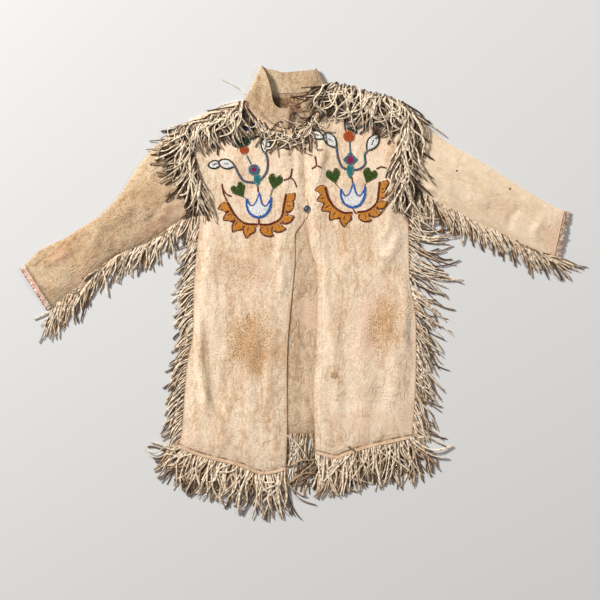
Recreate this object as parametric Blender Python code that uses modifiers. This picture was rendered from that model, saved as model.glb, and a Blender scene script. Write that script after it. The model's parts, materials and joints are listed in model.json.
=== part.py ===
"""Fringed buckskin jacket, buttoned at the chest and laid flat on its back, front up.

Frame: metres. +X runs to the right as one looks down on the front, +Y towards the
collar, +Z up out of the surface that it lies on. The origin is on the underside of
the back panel. "left" and "right" are as seen from the front.

Layers, from the surface up: back, fronts, collar ends, and the tangled fringes.
The sleeves are tubes folded flat, with the fold along the top of the arm and the
seam under the arm.
"""
import math

import bpy
from mathutils import Vector

# ---------------------------------------------------------------- driving dimensions
HIDE = 0.0018            # wall of the smoked hide
SEAM_GAP = 0.0003        # clearance between pieces that are sewn together
EDGE_GAP = 0.0010        # plan clearance at the armholes and fringe roots
SLEEVE_LOFT = 0.0073     # height of a sleeve folded flat
PUFF = 0.0030            # rise of a front over the back, away from its seams
TRIM_DEPTH = 0.018       # pinked strip beyond each cuff
PINK_DEPTH = 0.0040      # depth of one notch of the pinked strip
BUTTON_RADIUS = 0.0095
BUTTON_HEIGHT = 0.0035
FRINGE_FLAT = 0.0026     # fringe lying one strand deep
FRINGE_PILE = 0.0040     # fringe tangled over the shoulder
FRINGE_HEAP = 0.0060     # fringe heaped over the armhole

FRONT_Z = HIDE + SEAM_GAP
LAP_RISE = HIDE + SEAM_GAP
PILE_Z = 0.0085
HEAP_Z = PILE_Z + FRINGE_PILE + SEAM_GAP

# ---------------------------------------------------------------- outlines
# Side seams, from hem to armpit. columns: x, y
SIDE_LEFT = [
    (-0.326, -0.395), (-0.313, -0.361), (-0.304, -0.242), (-0.296, -0.164),
    (-0.283, -0.104), (-0.281, 0.016), (-0.273, 0.117), (-0.266, 0.185), (-0.268, 0.216),
]
SIDE_RIGHT = [
    (0.286, -0.373), (0.291, -0.302), (0.296, -0.221), (0.297, -0.138),
    (0.295, -0.055), (0.281, 0.029), (0.278, 0.091), (0.277, 0.169), (0.273, 0.255),
]
# Armholes, from armpit to shoulder point. columns: x, y
ARMHOLE_LEFT = [(-0.268, 0.216), (-0.296, 0.450)]
ARMHOLE_RIGHT = [(0.273, 0.255), (0.265, 0.490)]
# Edges of the back. columns: x, y
BACK_HEM = [(-0.313, -0.361), (-0.160, -0.363), (-0.010, -0.360), (0.140, -0.362), (0.286, -0.373)]
BACK_SHOULDER_LEFT = [(-0.296, 0.450), (-0.244, 0.474), (-0.182, 0.496), (-0.146, 0.504)]
BACK_NECK = [(-0.146, 0.504), (-0.104, 0.519), (-0.055, 0.522), (-0.005, 0.524), (0.060, 0.532)]
BACK_SHOULDER_RIGHT = [(0.060, 0.532), (0.107, 0.529), (0.164, 0.522), (0.203, 0.515), (0.265, 0.490)]
# Edges of the left front. columns: x, y
LEFT_HEM = [(-0.326, -0.395), (-0.268, -0.419), (-0.166, -0.445), (-0.104, -0.467), (-0.042, -0.456)]
LEFT_SHOULDER = [(-0.296, 0.444), (-0.244, 0.461), (-0.180, 0.482), (-0.140, 0.490)]
LEFT_NECK = [(-0.140, 0.490), (-0.112, 0.468), (-0.085, 0.447), (-0.050, 0.433), (0.020, 0.424)]
LEFT_EDGE = [
    (-0.042, -0.456), (-0.039, -0.341), (-0.039, -0.166), (-0.031, -0.047), (-0.019, 0.078),
    (-0.018, 0.153), (-0.010, 0.172), (0.007, 0.198), (0.016, 0.260), (0.020, 0.424),
]
# Edges of the right front, which laps over the left above the button. columns: x, y
RIGHT_EDGE = [
    (0.035, -0.413), (0.033, -0.354), (0.029, -0.252), (0.035, -0.166), (0.039, -0.047),
    (0.039, 0.057), (0.023, 0.117), (0.014, 0.172), (0.007, 0.202), (0.006, 0.300), (0.000, 0.424),
]
RIGHT_HEM = [(0.035, -0.413), (0.088, -0.426), (0.109, -0.419), (0.173, -0.398), (0.286, -0.373)]
RIGHT_NECK = [(0.000, 0.424), (0.026, 0.452), (0.046, 0.488), (0.070, 0.518)]
RIGHT_SHOULDER = [(0.070, 0.518), (0.164, 0.506), (0.265, 0.484)]

# Sleeves, from armhole to cuff. columns: fold x, fold y, underarm x, underarm y
SLEEVE_LEFT = [
    (-0.296, 0.450, -0.268, 0.216),
    (-0.341, 0.419, -0.283, 0.208),
    (-0.385, 0.382, -0.302, 0.200),
    (-0.432, 0.325, -0.330, 0.185),
    (-0.471, 0.263, -0.387, 0.143),
    (-0.515, 0.216, -0.450, 0.117),
    (-0.533, 0.200, -0.486, 0.099),
    (-0.582, 0.169, -0.528, 0.068),
    (-0.619, 0.146, -0.551, 0.039),
    (-0.679, 0.117, -0.606, 0.003),
    (-0.720, 0.078, -0.650, -0.031),
]
SLEEVE_RIGHT = [
    (0.265, 0.490, 0.273, 0.255),
    (0.302, 0.458, 0.296, 0.260),
    (0.333, 0.429, 0.320, 0.263),
    (0.372, 0.400, 0.343, 0.246),
    (0.416, 0.374, 0.374, 0.231),
    (0.463, 0.348, 0.406, 0.216),
    (0.515, 0.315, 0.455, 0.187),
    (0.580, 0.273, 0.512, 0.164),
    (0.632, 0.242, 0.567, 0.135),
    (0.660, 0.226, 0.611, 0.112),
    (0.681, 0.218, 0.655, 0.096),
]
TRIM_WAY_LEFT = Vector((-0.85, -0.53))
TRIM_WAY_RIGHT = Vector((0.99, -0.10))

# Stand collar, one band from its left end, round the back of the neck, to its right end.
# columns: seam x, seam y, free edge x, free edge y, height of the middle of the wall
COLLAR = [
    (-0.036, 0.432, -0.029, 0.486, 0.0056),
    (-0.062, 0.439, -0.060, 0.486, 0.0056),
    (-0.094, 0.460, -0.075, 0.504, 0.0056),
    (-0.122, 0.486, -0.081, 0.538, 0.0056),
    (-0.138, 0.500, -0.093, 0.575, 0.0056),
    (-0.144, 0.506, -0.102, 0.592, 0.0050),
    (-0.146, 0.508, -0.104, 0.595, 0.0031),
    (-0.143, 0.509, -0.101, 0.593, 0.0014),
    (-0.130, 0.513, -0.090, 0.588, 0.0009),
    (-0.104, 0.521, -0.070, 0.585, 0.0009),
    (-0.055, 0.524, -0.050, 0.579, 0.0009),
    (-0.005, 0.526, -0.005, 0.582, 0.0009),
    (0.031, 0.532, 0.026, 0.585, 0.0009),
    (0.052, 0.542, 0.033, 0.586, 0.0009),
    (0.058, 0.548, 0.036, 0.588, 0.0014),
    (0.060, 0.550, 0.037, 0.589, 0.0038),
    (0.059, 0.546, 0.035, 0.586, 0.0062),
    (0.055, 0.537, 0.030, 0.568, 0.0072),
    (0.044, 0.512, 0.021, 0.533, 0.0074),
    (0.028, 0.481, 0.008, 0.512, 0.0074),
    (0.012, 0.452, -0.005, 0.489, 0.0074),
]

# Ridges where the hide stands up off the back.
# columns: x0, y0, x1, y1, half width, share of PUFF
RIDGES_LEFT = [
    (-0.262, -0.065, -0.248, -0.260, 0.030, 1.00),
    (-0.250, -0.273, -0.205, -0.350, 0.030, 0.90),
    (-0.110, -0.120, -0.120, -0.400, 0.045, 0.70),
    (-0.200, 0.120, -0.100, 0.060, 0.045, 0.60),
    (-0.190, 0.330, -0.070, 0.300, 0.050, 0.80),
]
RIDGES_RIGHT = [
    (0.255, -0.020, 0.240, -0.280, 0.035, 0.90),
    (0.120, -0.060, 0.130, -0.360, 0.050, 0.70),
    (0.110, 0.150, 0.200, 0.100, 0.045, 0.60),
    (0.090, 0.300, 0.210, 0.330, 0.050, 0.80),
]
# Troughs across the sleeves. columns: distance along (share), reach across (share), depth share
TROUGHS_LEFT = [(0.16, 0.70, 0.9), (0.36, 0.50, 0.8), (0.57, 0.80, 1.0), (0.78, 0.45, 0.6)]
TROUGHS_RIGHT = [(0.12, 0.80, 1.0), (0.30, 0.55, 0.8), (0.55, 0.50, 0.7), (0.80, 0.60, 0.6)]
TROUGH_DEPTH = 0.0026
TROUGH_WIDTH = 0.055

# Fringe reaches: root line and tip line, in the same order. columns: x, y
SHOULDER_LEFT_ROOT = [(-0.298, 0.442), (-0.244, 0.459), (-0.166, 0.486), (-0.128, 0.500)]
SHOULDER_LEFT_TIP = [(-0.300, 0.380), (-0.240, 0.362), (-0.165, 0.376), (-0.100, 0.400)]
SHOULDER_RIGHT_ROOT = [(0.062, 0.566), (0.094, 0.549), (0.164, 0.527), (0.229, 0.513), (0.281, 0.499)]
SHOULDER_RIGHT_TIP = [(0.044, 0.455), (0.112, 0.429), (0.170, 0.418), (0.220, 0.412), (0.262, 0.404)]
NECK_ROOT = [(-0.104, 0.460), (-0.039, 0.428), (0.008, 0.440), (0.058, 0.478)]
NECK_TIP = [(-0.106, 0.392), (-0.040, 0.360), (0.021, 0.372), (0.084, 0.425)]
ARMHOLE_LEFT_OUTER = [(-0.385, 0.398), (-0.352, 0.300), (-0.312, 0.215), (-0.275, 0.165)]
ARMHOLE_LEFT_INNER = [(-0.232, 0.405), (-0.207, 0.300), (-0.215, 0.215), (-0.236, 0.165)]
ARMHOLE_RIGHT_INNER = [(0.232, 0.440), (0.250, 0.330), (0.246, 0.250), (0.240, 0.190)]
ARMHOLE_RIGHT_OUTER = [(0.350, 0.425), (0.332, 0.340), (0.304, 0.240), (0.308, 0.180)]
UNDERARM_LEFT_TIP = [
    (-0.330, 0.135), (-0.400, 0.070), (-0.473, 0.023),
    (-0.546, -0.018), (-0.588, -0.060), (-0.629, -0.091), (-0.668, -0.062),
]
UNDERARM_RIGHT_TIP = [
    (0.322, 0.186), (0.385, 0.148), (0.484, 0.101), (0.575, 0.065), (0.619, 0.047), (0.736, 0.050),
]
SIDE_LEFT_TIP = [
    (-0.358, -0.380), (-0.354, -0.351), (-0.351, -0.273), (-0.333, -0.130), (-0.317, -0.013), (-0.322, 0.086),
]
SIDE_RIGHT_TIP = [
    (0.382, -0.360), (0.385, -0.300), (0.365, -0.208), (0.362, -0.143),
    (0.398, -0.078), (0.421, -0.005), (0.419, 0.070), (0.368, 0.128),
]
HEM_LEFT_TIP = [(-0.390, -0.446), (-0.343, -0.559), (-0.226, -0.564), (-0.104, -0.574), (-0.030, -0.590)]
HEM_RIGHT_TIP = [(0.030, -0.520), (0.088, -0.546), (0.151, -0.533), (0.255, -0.507), (0.390, -0.462)]
HEM_BACK_TIP = [(-0.280, -0.500), (-0.150, -0.512), (-0.010, -0.520), (0.140, -0.510), (0.250, -0.490)]

# ---------------------------------------------------------------- colours (linear rgb)
BUCKSKIN = (0.62, 0.46, 0.30, 1.0)
BUCKSKIN_INSIDE = (0.44, 0.31, 0.19, 1.0)
FRINGE_COLOUR = (0.58, 0.43, 0.28, 1.0)
PEWTER = (0.16, 0.16, 0.17, 1.0)


# ---------------------------------------------------------------- helpers
def clear_scene():
    for thing in list(bpy.data.objects):
        bpy.data.objects.remove(thing, do_unlink=True)


def parts_collection(name):
    group = bpy.data.collections.new(name)
    bpy.context.scene.collection.children.link(group)
    return group


def finish_material(name, colour, roughness, metallic=0.0):
    mat = bpy.data.materials.new(name)
    mat.use_nodes = True
    shader = mat.node_tree.nodes["Principled BSDF"]
    shader.inputs["Base Color"].default_value = colour
    shader.inputs["Roughness"].default_value = roughness
    shader.inputs["Metallic"].default_value = metallic
    mat.diffuse_color = colour
    return mat


def catmull(points, at):
    """A point on the smooth curve through points; at runs from 0 to len(points) - 1."""
    last = len(points) - 1
    i = min(int(at), last - 1)
    f = at - i
    p1, p2 = points[i], points[i + 1]
    p0 = points[i - 1] if i > 0 else p1 * 2 - p2
    p3 = points[i + 2] if i + 2 <= last else p2 * 2 - p1
    a = p1 * 2
    b = (p2 - p0) * f
    c = (p0 * 2 - p1 * 5 + p2 * 4 - p3) * f * f
    d = (p1 * 3 - p0 - p2 * 3 + p3) * f * f * f
    return (a + b + c + d) * 0.5


def walk(table, steps):
    """steps + 1 points, evenly spaced by length, on the smooth curve through the table."""
    points = [Vector(row) for row in table]
    fine = [catmull(points, k * (len(points) - 1) / 200) for k in range(201)]
    reach = [0.0]
    for a, b in zip(fine, fine[1:]):
        reach.append(reach[-1] + (b - a).length)
    found = []
    j = 0
    for k in range(steps + 1):
        want = reach[-1] * k / steps
        while j < 199 and reach[j + 1] < want:
            j += 1
        span = reach[j + 1] - reach[j]
        f = (want - reach[j]) / span if span else 0.0
        found.append(fine[j].lerp(fine[j + 1], min(max(f, 0.0), 1.0)))
    return found


def legs(*pairs):
    """One edge made of several curves that meet at corners. pairs: (table, steps)."""
    line = []
    for table, steps in pairs:
        part = walk(table, steps)
        line += part if not line else part[1:]
    return line


def patch(bottom, top, left, right):
    """Rows of (point, u, v) filling the area between four edges."""
    nu, nv = len(bottom) - 1, len(left) - 1
    rows = []
    for j in range(nv + 1):
        v = j / nv
        row = []
        for i in range(nu + 1):
            u = i / nu
            ends = left[j] * (1 - u) + right[j] * u
            caps = bottom[i] * (1 - v) + top[i] * v
            low = bottom[0] * (1 - u) + bottom[-1] * u
            high = top[0] * (1 - u) + top[-1] * u
            row.append((ends + caps - low * (1 - v) - high * v, u, v))
        rows.append(row)
    return rows


def mesh_object(group, name, verts, faces, mat):
    mesh = bpy.data.meshes.new(name)
    mesh.from_pydata([tuple(v) for v in verts], [], faces)
    mesh.materials.append(mat)
    mesh.update()
    thing = bpy.data.objects.new(name, mesh)
    group.objects.link(thing)
    for poly in mesh.polygons:
        poly.use_smooth = True
    return thing


def add_wall(thing, thickness, offset):
    wall = thing.modifiers.new("wall", "SOLIDIFY")
    wall.thickness = thickness
    wall.offset = offset
    wall.use_even_offset = False
    return thing


def panel(group, name, rows, height, mat, thickness=HIDE):
    """A sheet over the patch's points. height(x, y, u, v) is the level of its underside."""
    wide = len(rows[0])
    verts = [(p.x, p.y, height(p.x, p.y, u, v)) for row in rows for p, u, v in row]
    faces = []
    for j in range(len(rows) - 1):
        for i in range(wide - 1):
            a = j * wide + i
            faces.append((a, a + 1, a + wide + 1, a + wide))
    return add_wall(mesh_object(group, name, verts, faces, mat), thickness, 1.0)


def ease(value, low, high):
    """0 below low, 1 above high, smooth between."""
    t = min(max((value - low) / (high - low), 0.0), 1.0)
    return t * t * (3 - 2 * t)


def from_segment(x, y, x0, y0, x1, y1):
    along = Vector((x1 - x0, y1 - y0))
    off = Vector((x - x0, y - y0))
    share = min(max(off.dot(along) / along.length_squared, 0.0), 1.0)
    return (off - along * share).length


def puff(x, y, u, v, ridges):
    """Rise of a front panel over the back, none at its seams."""
    total = 0.25
    for x0, y0, x1, y1, half, share in ridges:
        far = from_segment(x, y, x0, y0, x1, y1) / half
        total = max(total, share * math.exp(-far * far))
    seams = min(ease(u, 0, 0.18), ease(1 - u, 0, 0.18), ease(v, 0, 0.10), ease(1 - v, 0, 0.10))
    return PUFF * total * seams


# ---------------------------------------------------------------- body panels
def make_back(group, mat):
    side = 20
    hole = 8
    rows = patch(
        walk(BACK_HEM, 20),
        legs((BACK_SHOULDER_LEFT, 6), (BACK_NECK, 7), (BACK_SHOULDER_RIGHT, 7)),
        legs((SIDE_LEFT[1:], side), (ARMHOLE_LEFT, hole)),
        legs((SIDE_RIGHT, side), (ARMHOLE_RIGHT, hole)),
    )
    return panel(group, "back", rows, lambda x, y, u, v: 0.0, mat)


def make_front_left(group, mat):
    rows = patch(
        walk(LEFT_HEM, 12),
        legs((LEFT_SHOULDER, 5), (LEFT_NECK, 7)),
        legs((SIDE_LEFT, 20), ([ARMHOLE_LEFT[0], (-0.296, 0.444)], 8)),
        walk(LEFT_EDGE, 28),
    )
    level = lambda x, y, u, v: FRONT_Z + puff(x, y, u, v, RIDGES_LEFT)
    return panel(group, "front_left", rows, level, mat)


def lap(x, y):
    """Lift of the right front where it lies over the edge of the left one."""
    return LAP_RISE * (1 - ease(x, 0.045, 0.085)) * ease(y, 0.090, 0.160)


def make_front_right(group, mat):
    rows = patch(
        walk(RIGHT_HEM, 12),
        legs((RIGHT_NECK, 5), (RIGHT_SHOULDER, 7)),
        walk(RIGHT_EDGE, 28),
        legs((SIDE_RIGHT, 20), ([ARMHOLE_RIGHT[0], (0.265, 0.484)], 8)),
    )
    level = lambda x, y, u, v: FRONT_Z + lap(x, y) + puff(x, y, u, v, RIDGES_RIGHT)
    return panel(group, "front_right", rows, level, mat)


# ---------------------------------------------------------------- sleeves
RING_STEPS = 9


def flat_ring(fold, under, loft):
    """The loop of a tube folded flat. loft(t) is its height at t across, fold to underarm."""
    across = under - fold
    inset = 0.5 * SLEEVE_LOFT / across.length
    stations = [inset + (1 - 2 * inset) * k / RING_STEPS for k in range(RING_STEPS + 1)]
    low = [(fold + across * t, 0.0) for t in stations]
    high = [(fold + across * t, loft(t)) for t in reversed(stations)]
    ring = low + [(under, 0.5 * loft(1.0))] + high + [(fold, 0.5 * loft(0.0))]
    return [(p.x, p.y, z) for p, z in ring]


def tube(group, name, rings, mat, outward):
    count = len(rings[0])
    verts = [p for ring in rings for p in ring]
    faces = []
    for j in range(len(rings) - 1):
        for i in range(count):
            a = j * count + i
            b = j * count + (i + 1) % count
            face = (a, b, b + count, a + count)
            faces.append(face if outward else face[::-1])
    return add_wall(mesh_object(group, name, verts, faces, mat), HIDE, -1.0)


def sleeve_loft(share, t, troughs):
    dip = 0.0
    for where, across, depth in troughs:
        along = (share - where) / TROUGH_WIDTH
        over = (t - across) / 0.35
        dip = max(dip, depth * math.exp(-along * along - over * over))
    return SLEEVE_LOFT - TROUGH_DEPTH * dip


def make_sleeve(group, name, table, troughs, outward, way):
    steps = 17
    lines = walk([Vector(row) for row in table], steps)
    rings = []
    for j, row in enumerate(lines):
        share = j / steps
        shift = way * EDGE_GAP if j == 0 else Vector((0.0, 0.0))
        fold = Vector((row[0], row[1])) + shift
        under = Vector((row[2], row[3])) + shift
        rings.append(flat_ring(fold, under, lambda t: sleeve_loft(share, t, troughs)))
    return tube(group, name, rings, mat_of["hide"], outward)


def make_trim(group, name, last, way, outward):
    """The pinked strip round a cuff: a short flat tube with a notched free edge."""
    fold = Vector((last[0], last[1]))
    under = Vector((last[2], last[3]))
    rings = []
    for depth in (EDGE_GAP, 0.5 * TRIM_DEPTH, TRIM_DEPTH):
        shift = way * depth
        rings.append(flat_ring(fold + shift, under + shift, lambda t: SLEEVE_LOFT))
    notched = []
    for k, (x, y, z) in enumerate(rings[-1]):
        out = PINK_DEPTH if k % 2 else 0.0
        notched.append((x + way.x * out, y + way.y * out, z))
    rings[-1] = notched
    return tube(group, name, rings, mat_of["hide"], outward)


# ---------------------------------------------------------------- collar and closure
def make_collar(group, mat):
    steps = 4
    verts = []
    for seam_x, seam_y, edge_x, edge_y, level in COLLAR:
        seam = Vector((seam_x, seam_y, level))
        edge = Vector((edge_x, edge_y, level))
        verts += [seam.lerp(edge, k / steps) for k in range(steps + 1)]
    faces = []
    for j in range(len(COLLAR) - 1):
        for i in range(steps):
            a = j * (steps + 1) + i
            faces.append((a, a + 1, a + steps + 2, a + steps + 1))
    return add_wall(mesh_object(group, "collar", verts, faces, mat), HIDE, 0.0)


def make_button(group, mat):
    base = FRONT_Z + LAP_RISE + HIDE + SEAM_GAP + 0.0002
    bpy.ops.mesh.primitive_cylinder_add(
        vertices=32, radius=BUTTON_RADIUS, depth=BUTTON_HEIGHT,
        location=(0.013, 0.2236, base + BUTTON_HEIGHT / 2),
    )
    thing = bpy.context.object
    thing.name = "button"
    thing.data.materials.append(mat)
    bevel = thing.modifiers.new("rim", "BEVEL")
    bevel.width = 0.0012
    bevel.segments = 3
    bevel.limit_method = "ANGLE"
    for poly in thing.data.polygons:
        poly.use_smooth = abs(poly.normal.z) < 0.5
    for owner in list(thing.users_collection):
        owner.objects.unlink(thing)
    group.objects.link(thing)
    return thing


# ---------------------------------------------------------------- fringes
def shifted(line, way):
    return [(p[0] + way[0], p[1] + way[1]) for p in line]


def fringe(group, name, root, tip, level, thickness, steps):
    """The plain reach of a fringe, from its root line to its tips."""
    a = walk(root, steps)
    b = walk(tip, steps)
    faces_up = (b[0] - a[0]).cross(a[-1] - a[0]) > 0
    rows = [[(p.lerp(q, k / 2), 0.0, 0.0) for k in range(3)] for p, q in zip(a, b)]
    if not faces_up:
        rows = rows[::-1]
    return panel(group, name, rows, lambda x, y, u, v: level, mat_of["fringe"], thickness)


def make_fringes(group):
    gap = EDGE_GAP
    under_left = [(row[2] + 0.3 * gap, row[3] - 1.5 * gap) for row in SLEEVE_LEFT[1:]]
    under_right = [(row[2] - 0.3 * gap, row[3] - 1.5 * gap) for row in SLEEVE_RIGHT[2:]]
    side_left = shifted(SIDE_LEFT[:-1], (-1.5 * gap, 0.0))
    side_right = shifted(SIDE_RIGHT[:-1] + [(0.276, 0.220)], (1.5 * gap, 0.0))
    hem_left = shifted(LEFT_HEM, (0.0, -1.5 * gap))
    hem_right = shifted(RIGHT_HEM, (0.0, -1.5 * gap))
    hem_back = [(x * 0.94, y) for x, y in shifted(BACK_HEM, (0.0, -1.5 * gap))]
    fringe(group, "fringe_underarm_left", under_left, UNDERARM_LEFT_TIP, 0.0, FRINGE_FLAT, 14)
    fringe(group, "fringe_underarm_right", under_right, UNDERARM_RIGHT_TIP, 0.0, FRINGE_FLAT, 14)
    fringe(group, "fringe_side_left", side_left, SIDE_LEFT_TIP, 0.0, FRINGE_FLAT, 18)
    fringe(group, "fringe_side_right", side_right, SIDE_RIGHT_TIP, 0.0, FRINGE_FLAT, 18)
    fringe(group, "fringe_hem_back", hem_back, HEM_BACK_TIP, 0.0, HIDE, 14)
    fringe(group, "fringe_hem_left", hem_left, HEM_LEFT_TIP, FRONT_Z, FRINGE_FLAT, 12)
    fringe(group, "fringe_hem_right", hem_right, HEM_RIGHT_TIP, FRONT_Z, FRINGE_FLAT, 12)
    fringe(group, "fringe_shoulder_left", SHOULDER_LEFT_ROOT, SHOULDER_LEFT_TIP, PILE_Z, FRINGE_PILE, 10)
    fringe(group, "fringe_shoulder_right", SHOULDER_RIGHT_ROOT, SHOULDER_RIGHT_TIP, PILE_Z, FRINGE_PILE, 10)
    fringe(group, "fringe_neck", NECK_ROOT, NECK_TIP, HEAP_Z, FRINGE_PILE, 8)
    fringe(group, "fringe_armhole_left", ARMHOLE_LEFT_OUTER, ARMHOLE_LEFT_INNER, HEAP_Z, FRINGE_HEAP, 10)
    fringe(group, "fringe_armhole_right", ARMHOLE_RIGHT_INNER, ARMHOLE_RIGHT_OUTER, HEAP_Z, FRINGE_HEAP, 10)


# ---------------------------------------------------------------- the jacket
clear_scene()
jacket = parts_collection("fringed_jacket")
mat_of = {
    "hide": finish_material("buckskin", BUCKSKIN, 0.85),
    "inside": finish_material("buckskin_inside", BUCKSKIN_INSIDE, 0.9),
    "fringe": finish_material("fringe_hide", FRINGE_COLOUR, 0.85),
    "pewter": finish_material("pewter", PEWTER, 0.45, 1.0),
}
make_back(jacket, mat_of["inside"])
make_front_left(jacket, mat_of["hide"])
make_front_right(jacket, mat_of["hide"])
make_sleeve(jacket, "sleeve_left", SLEEVE_LEFT, TROUGHS_LEFT, True, Vector((-1.0, 0.0)))
make_sleeve(jacket, "sleeve_right", SLEEVE_RIGHT, TROUGHS_RIGHT, False, Vector((1.0, 0.0)))
make_trim(jacket, "cuff_trim_left", SLEEVE_LEFT[-1], TRIM_WAY_LEFT, True)
make_trim(jacket, "cuff_trim_right", SLEEVE_RIGHT[-1], TRIM_WAY_RIGHT, False)
make_collar(jacket, mat_of["hide"])
make_button(jacket, mat_of["pewter"])
make_fringes(jacket)
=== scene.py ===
# %% [markdown]
# # A fringed buckskin jacket, laid flat
# The jacket lies on its back, front up. It is cut from a few soft hides: a back, two fronts, two sleeves and
# a stand collar, with long fringes caught in every seam and flowers worked on the chest in glass seed beads.
# Each hide is a thin sheet with a real wall, shaped over what lies under it, and each fringe is hundreds of
# separate thongs. Every step builds one piece and prints what it made.

# %% Tools and the measured frame
import json
import math
import random

import bmesh
import bpy
import numpy as np
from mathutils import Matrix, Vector, noise
from mathutils.bvhtree import BVHTree

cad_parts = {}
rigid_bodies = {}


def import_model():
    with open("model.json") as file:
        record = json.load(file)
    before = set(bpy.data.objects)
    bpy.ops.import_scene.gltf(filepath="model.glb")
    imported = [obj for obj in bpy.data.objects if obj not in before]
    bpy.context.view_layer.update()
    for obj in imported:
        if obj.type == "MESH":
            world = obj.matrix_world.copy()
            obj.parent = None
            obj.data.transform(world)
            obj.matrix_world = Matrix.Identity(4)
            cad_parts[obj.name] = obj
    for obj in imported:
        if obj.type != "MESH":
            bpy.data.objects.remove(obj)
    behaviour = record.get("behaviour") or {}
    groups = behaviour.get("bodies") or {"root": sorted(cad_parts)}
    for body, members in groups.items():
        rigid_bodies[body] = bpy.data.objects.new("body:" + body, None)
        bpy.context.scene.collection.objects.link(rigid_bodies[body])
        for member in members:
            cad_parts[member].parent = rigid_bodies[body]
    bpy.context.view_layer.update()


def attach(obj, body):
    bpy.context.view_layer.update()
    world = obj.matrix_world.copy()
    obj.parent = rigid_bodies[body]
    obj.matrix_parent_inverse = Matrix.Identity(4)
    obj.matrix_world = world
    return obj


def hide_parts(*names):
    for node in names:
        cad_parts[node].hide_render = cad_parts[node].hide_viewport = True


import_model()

MM = 0.001
HIDE = 1.8 * MM          # wall of the hide
SEAM = 0.3 * MM          # clearance at a seam
FRONT_Z = HIDE + SEAM    # where a front rests on the back

# %% [markdown]
# ## Camera, surface and lights
# A garment laid out is looked at from straight above. A long lens held far away keeps the sleeves from
# leaning. One strong, soft lamp stands low at the upper left, so every crease and thong has a bright and a
# shaded side. A weak one on the right and a dim sky keep the shade from going black.

# %% Camera, surface and lights
VIEW_WIDTH = 1.56        # metres across the view
CAMERA_HEIGHT = 7.0
SENSOR = 36.0            # millimetres

stage = bpy.context.scene
lens = bpy.data.cameras.new("copy_camera")
lens.sensor_width = SENSOR
lens.lens = SENSOR * CAMERA_HEIGHT / VIEW_WIDTH
lens.clip_end = 30.0
camera = bpy.data.objects.new("copy_camera", lens)
camera.location = (-0.005, -0.013, CAMERA_HEIGHT)
stage.collection.objects.link(camera)
stage.camera = camera


def lamp(name, place, watts, size, colour):
    """A square soft lamp that points at the middle of the jacket."""
    light = bpy.data.lights.new(name, "AREA")
    light.energy = watts
    light.size = size
    light.color = colour
    holder = bpy.data.objects.new(name, light)
    holder.location = place
    holder.rotation_euler = (-Vector(place)).to_track_quat("-Z", "Y").to_euler()
    stage.collection.objects.link(holder)


lamp("lamp_left", (-5.4, 4.8, 3.9), 1080, 1.3, (1.0, 0.98, 0.95))
lamp("lamp_right", (3.6, 1.2, 2.8), 45, 1.4, (1.0, 0.99, 0.98))

stage.view_settings.view_transform = "Standard"
stage.world = bpy.data.worlds.new("studio")
stage.world.use_nodes = True
sky = stage.world.node_tree.nodes["Background"]
sky.inputs["Color"].default_value = (1.0, 0.99, 0.97, 1.0)
sky.inputs["Strength"].default_value = 0.22

bpy.ops.mesh.primitive_plane_add(size=14, location=(0, 0, -0.5 * MM))
surface = bpy.context.object
surface.name = "surface"
paper = bpy.data.materials.new("pale_surface")
paper.use_nodes = True
paper_shader = paper.node_tree.nodes["Principled BSDF"]
paper_shader.inputs["Base Color"].default_value = (0.66, 0.66, 0.66, 1)
paper_shader.inputs["Roughness"].default_value = 0.9
surface.data.materials.append(paper)
print("camera looks down from", CAMERA_HEIGHT, "m on", VIEW_WIDTH, "m")

# %% [markdown]
# ## The cutting lines
# The edges of each hide as it lies, in metres, are short tables of points. A smooth curve runs through each
# table, and a corner is where one table ends and the next begins.

# %% The cutting lines
SIDE_LEFT = [
    (-0.326, -0.395), (-0.313, -0.361), (-0.304, -0.242), (-0.296, -0.164),
    (-0.283, -0.104), (-0.281, 0.016), (-0.273, 0.117), (-0.266, 0.185), (-0.268, 0.216),
]
SIDE_RIGHT = [
    (0.286, -0.373), (0.291, -0.302), (0.296, -0.221), (0.297, -0.138),
    (0.295, -0.055), (0.281, 0.029), (0.278, 0.091), (0.277, 0.169), (0.273, 0.255),
]
ARMHOLE_LEFT = [(-0.268, 0.216), (-0.296, 0.450)]
ARMHOLE_RIGHT = [(0.273, 0.255), (0.265, 0.490)]
BACK_HEM = [(-0.313, -0.361), (-0.160, -0.363), (-0.010, -0.360), (0.140, -0.362), (0.286, -0.373)]
BACK_SHOULDER_LEFT = [(-0.296, 0.450), (-0.244, 0.474), (-0.182, 0.496), (-0.146, 0.504)]
BACK_NECK = [(-0.146, 0.504), (-0.104, 0.519), (-0.055, 0.522), (-0.005, 0.524), (0.060, 0.532)]
BACK_SHOULDER_RIGHT = [(0.060, 0.532), (0.107, 0.529), (0.164, 0.522), (0.203, 0.515), (0.265, 0.490)]
LEFT_HEM = [(-0.326, -0.395), (-0.268, -0.419), (-0.166, -0.445), (-0.104, -0.467), (-0.042, -0.456)]
LEFT_SHOULDER = [(-0.296, 0.444), (-0.244, 0.461), (-0.180, 0.482), (-0.140, 0.490)]
LEFT_NECK = [(-0.140, 0.490), (-0.112, 0.468), (-0.085, 0.447), (-0.050, 0.433), (0.020, 0.424)]
LEFT_EDGE = [
    (-0.042, -0.456), (-0.039, -0.341), (-0.039, -0.166), (-0.031, -0.047), (-0.019, 0.078),
    (-0.018, 0.153), (-0.010, 0.172), (0.007, 0.198), (0.016, 0.260), (0.020, 0.424),
]
RIGHT_EDGE = [
    (0.035, -0.413), (0.033, -0.354), (0.029, -0.252), (0.035, -0.166), (0.039, -0.047),
    (0.039, 0.057), (0.023, 0.117), (0.014, 0.172), (0.007, 0.202), (0.006, 0.300), (0.000, 0.424),
]
RIGHT_HEM = [(0.035, -0.413), (0.088, -0.426), (0.109, -0.419), (0.173, -0.398), (0.286, -0.373)]
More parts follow.
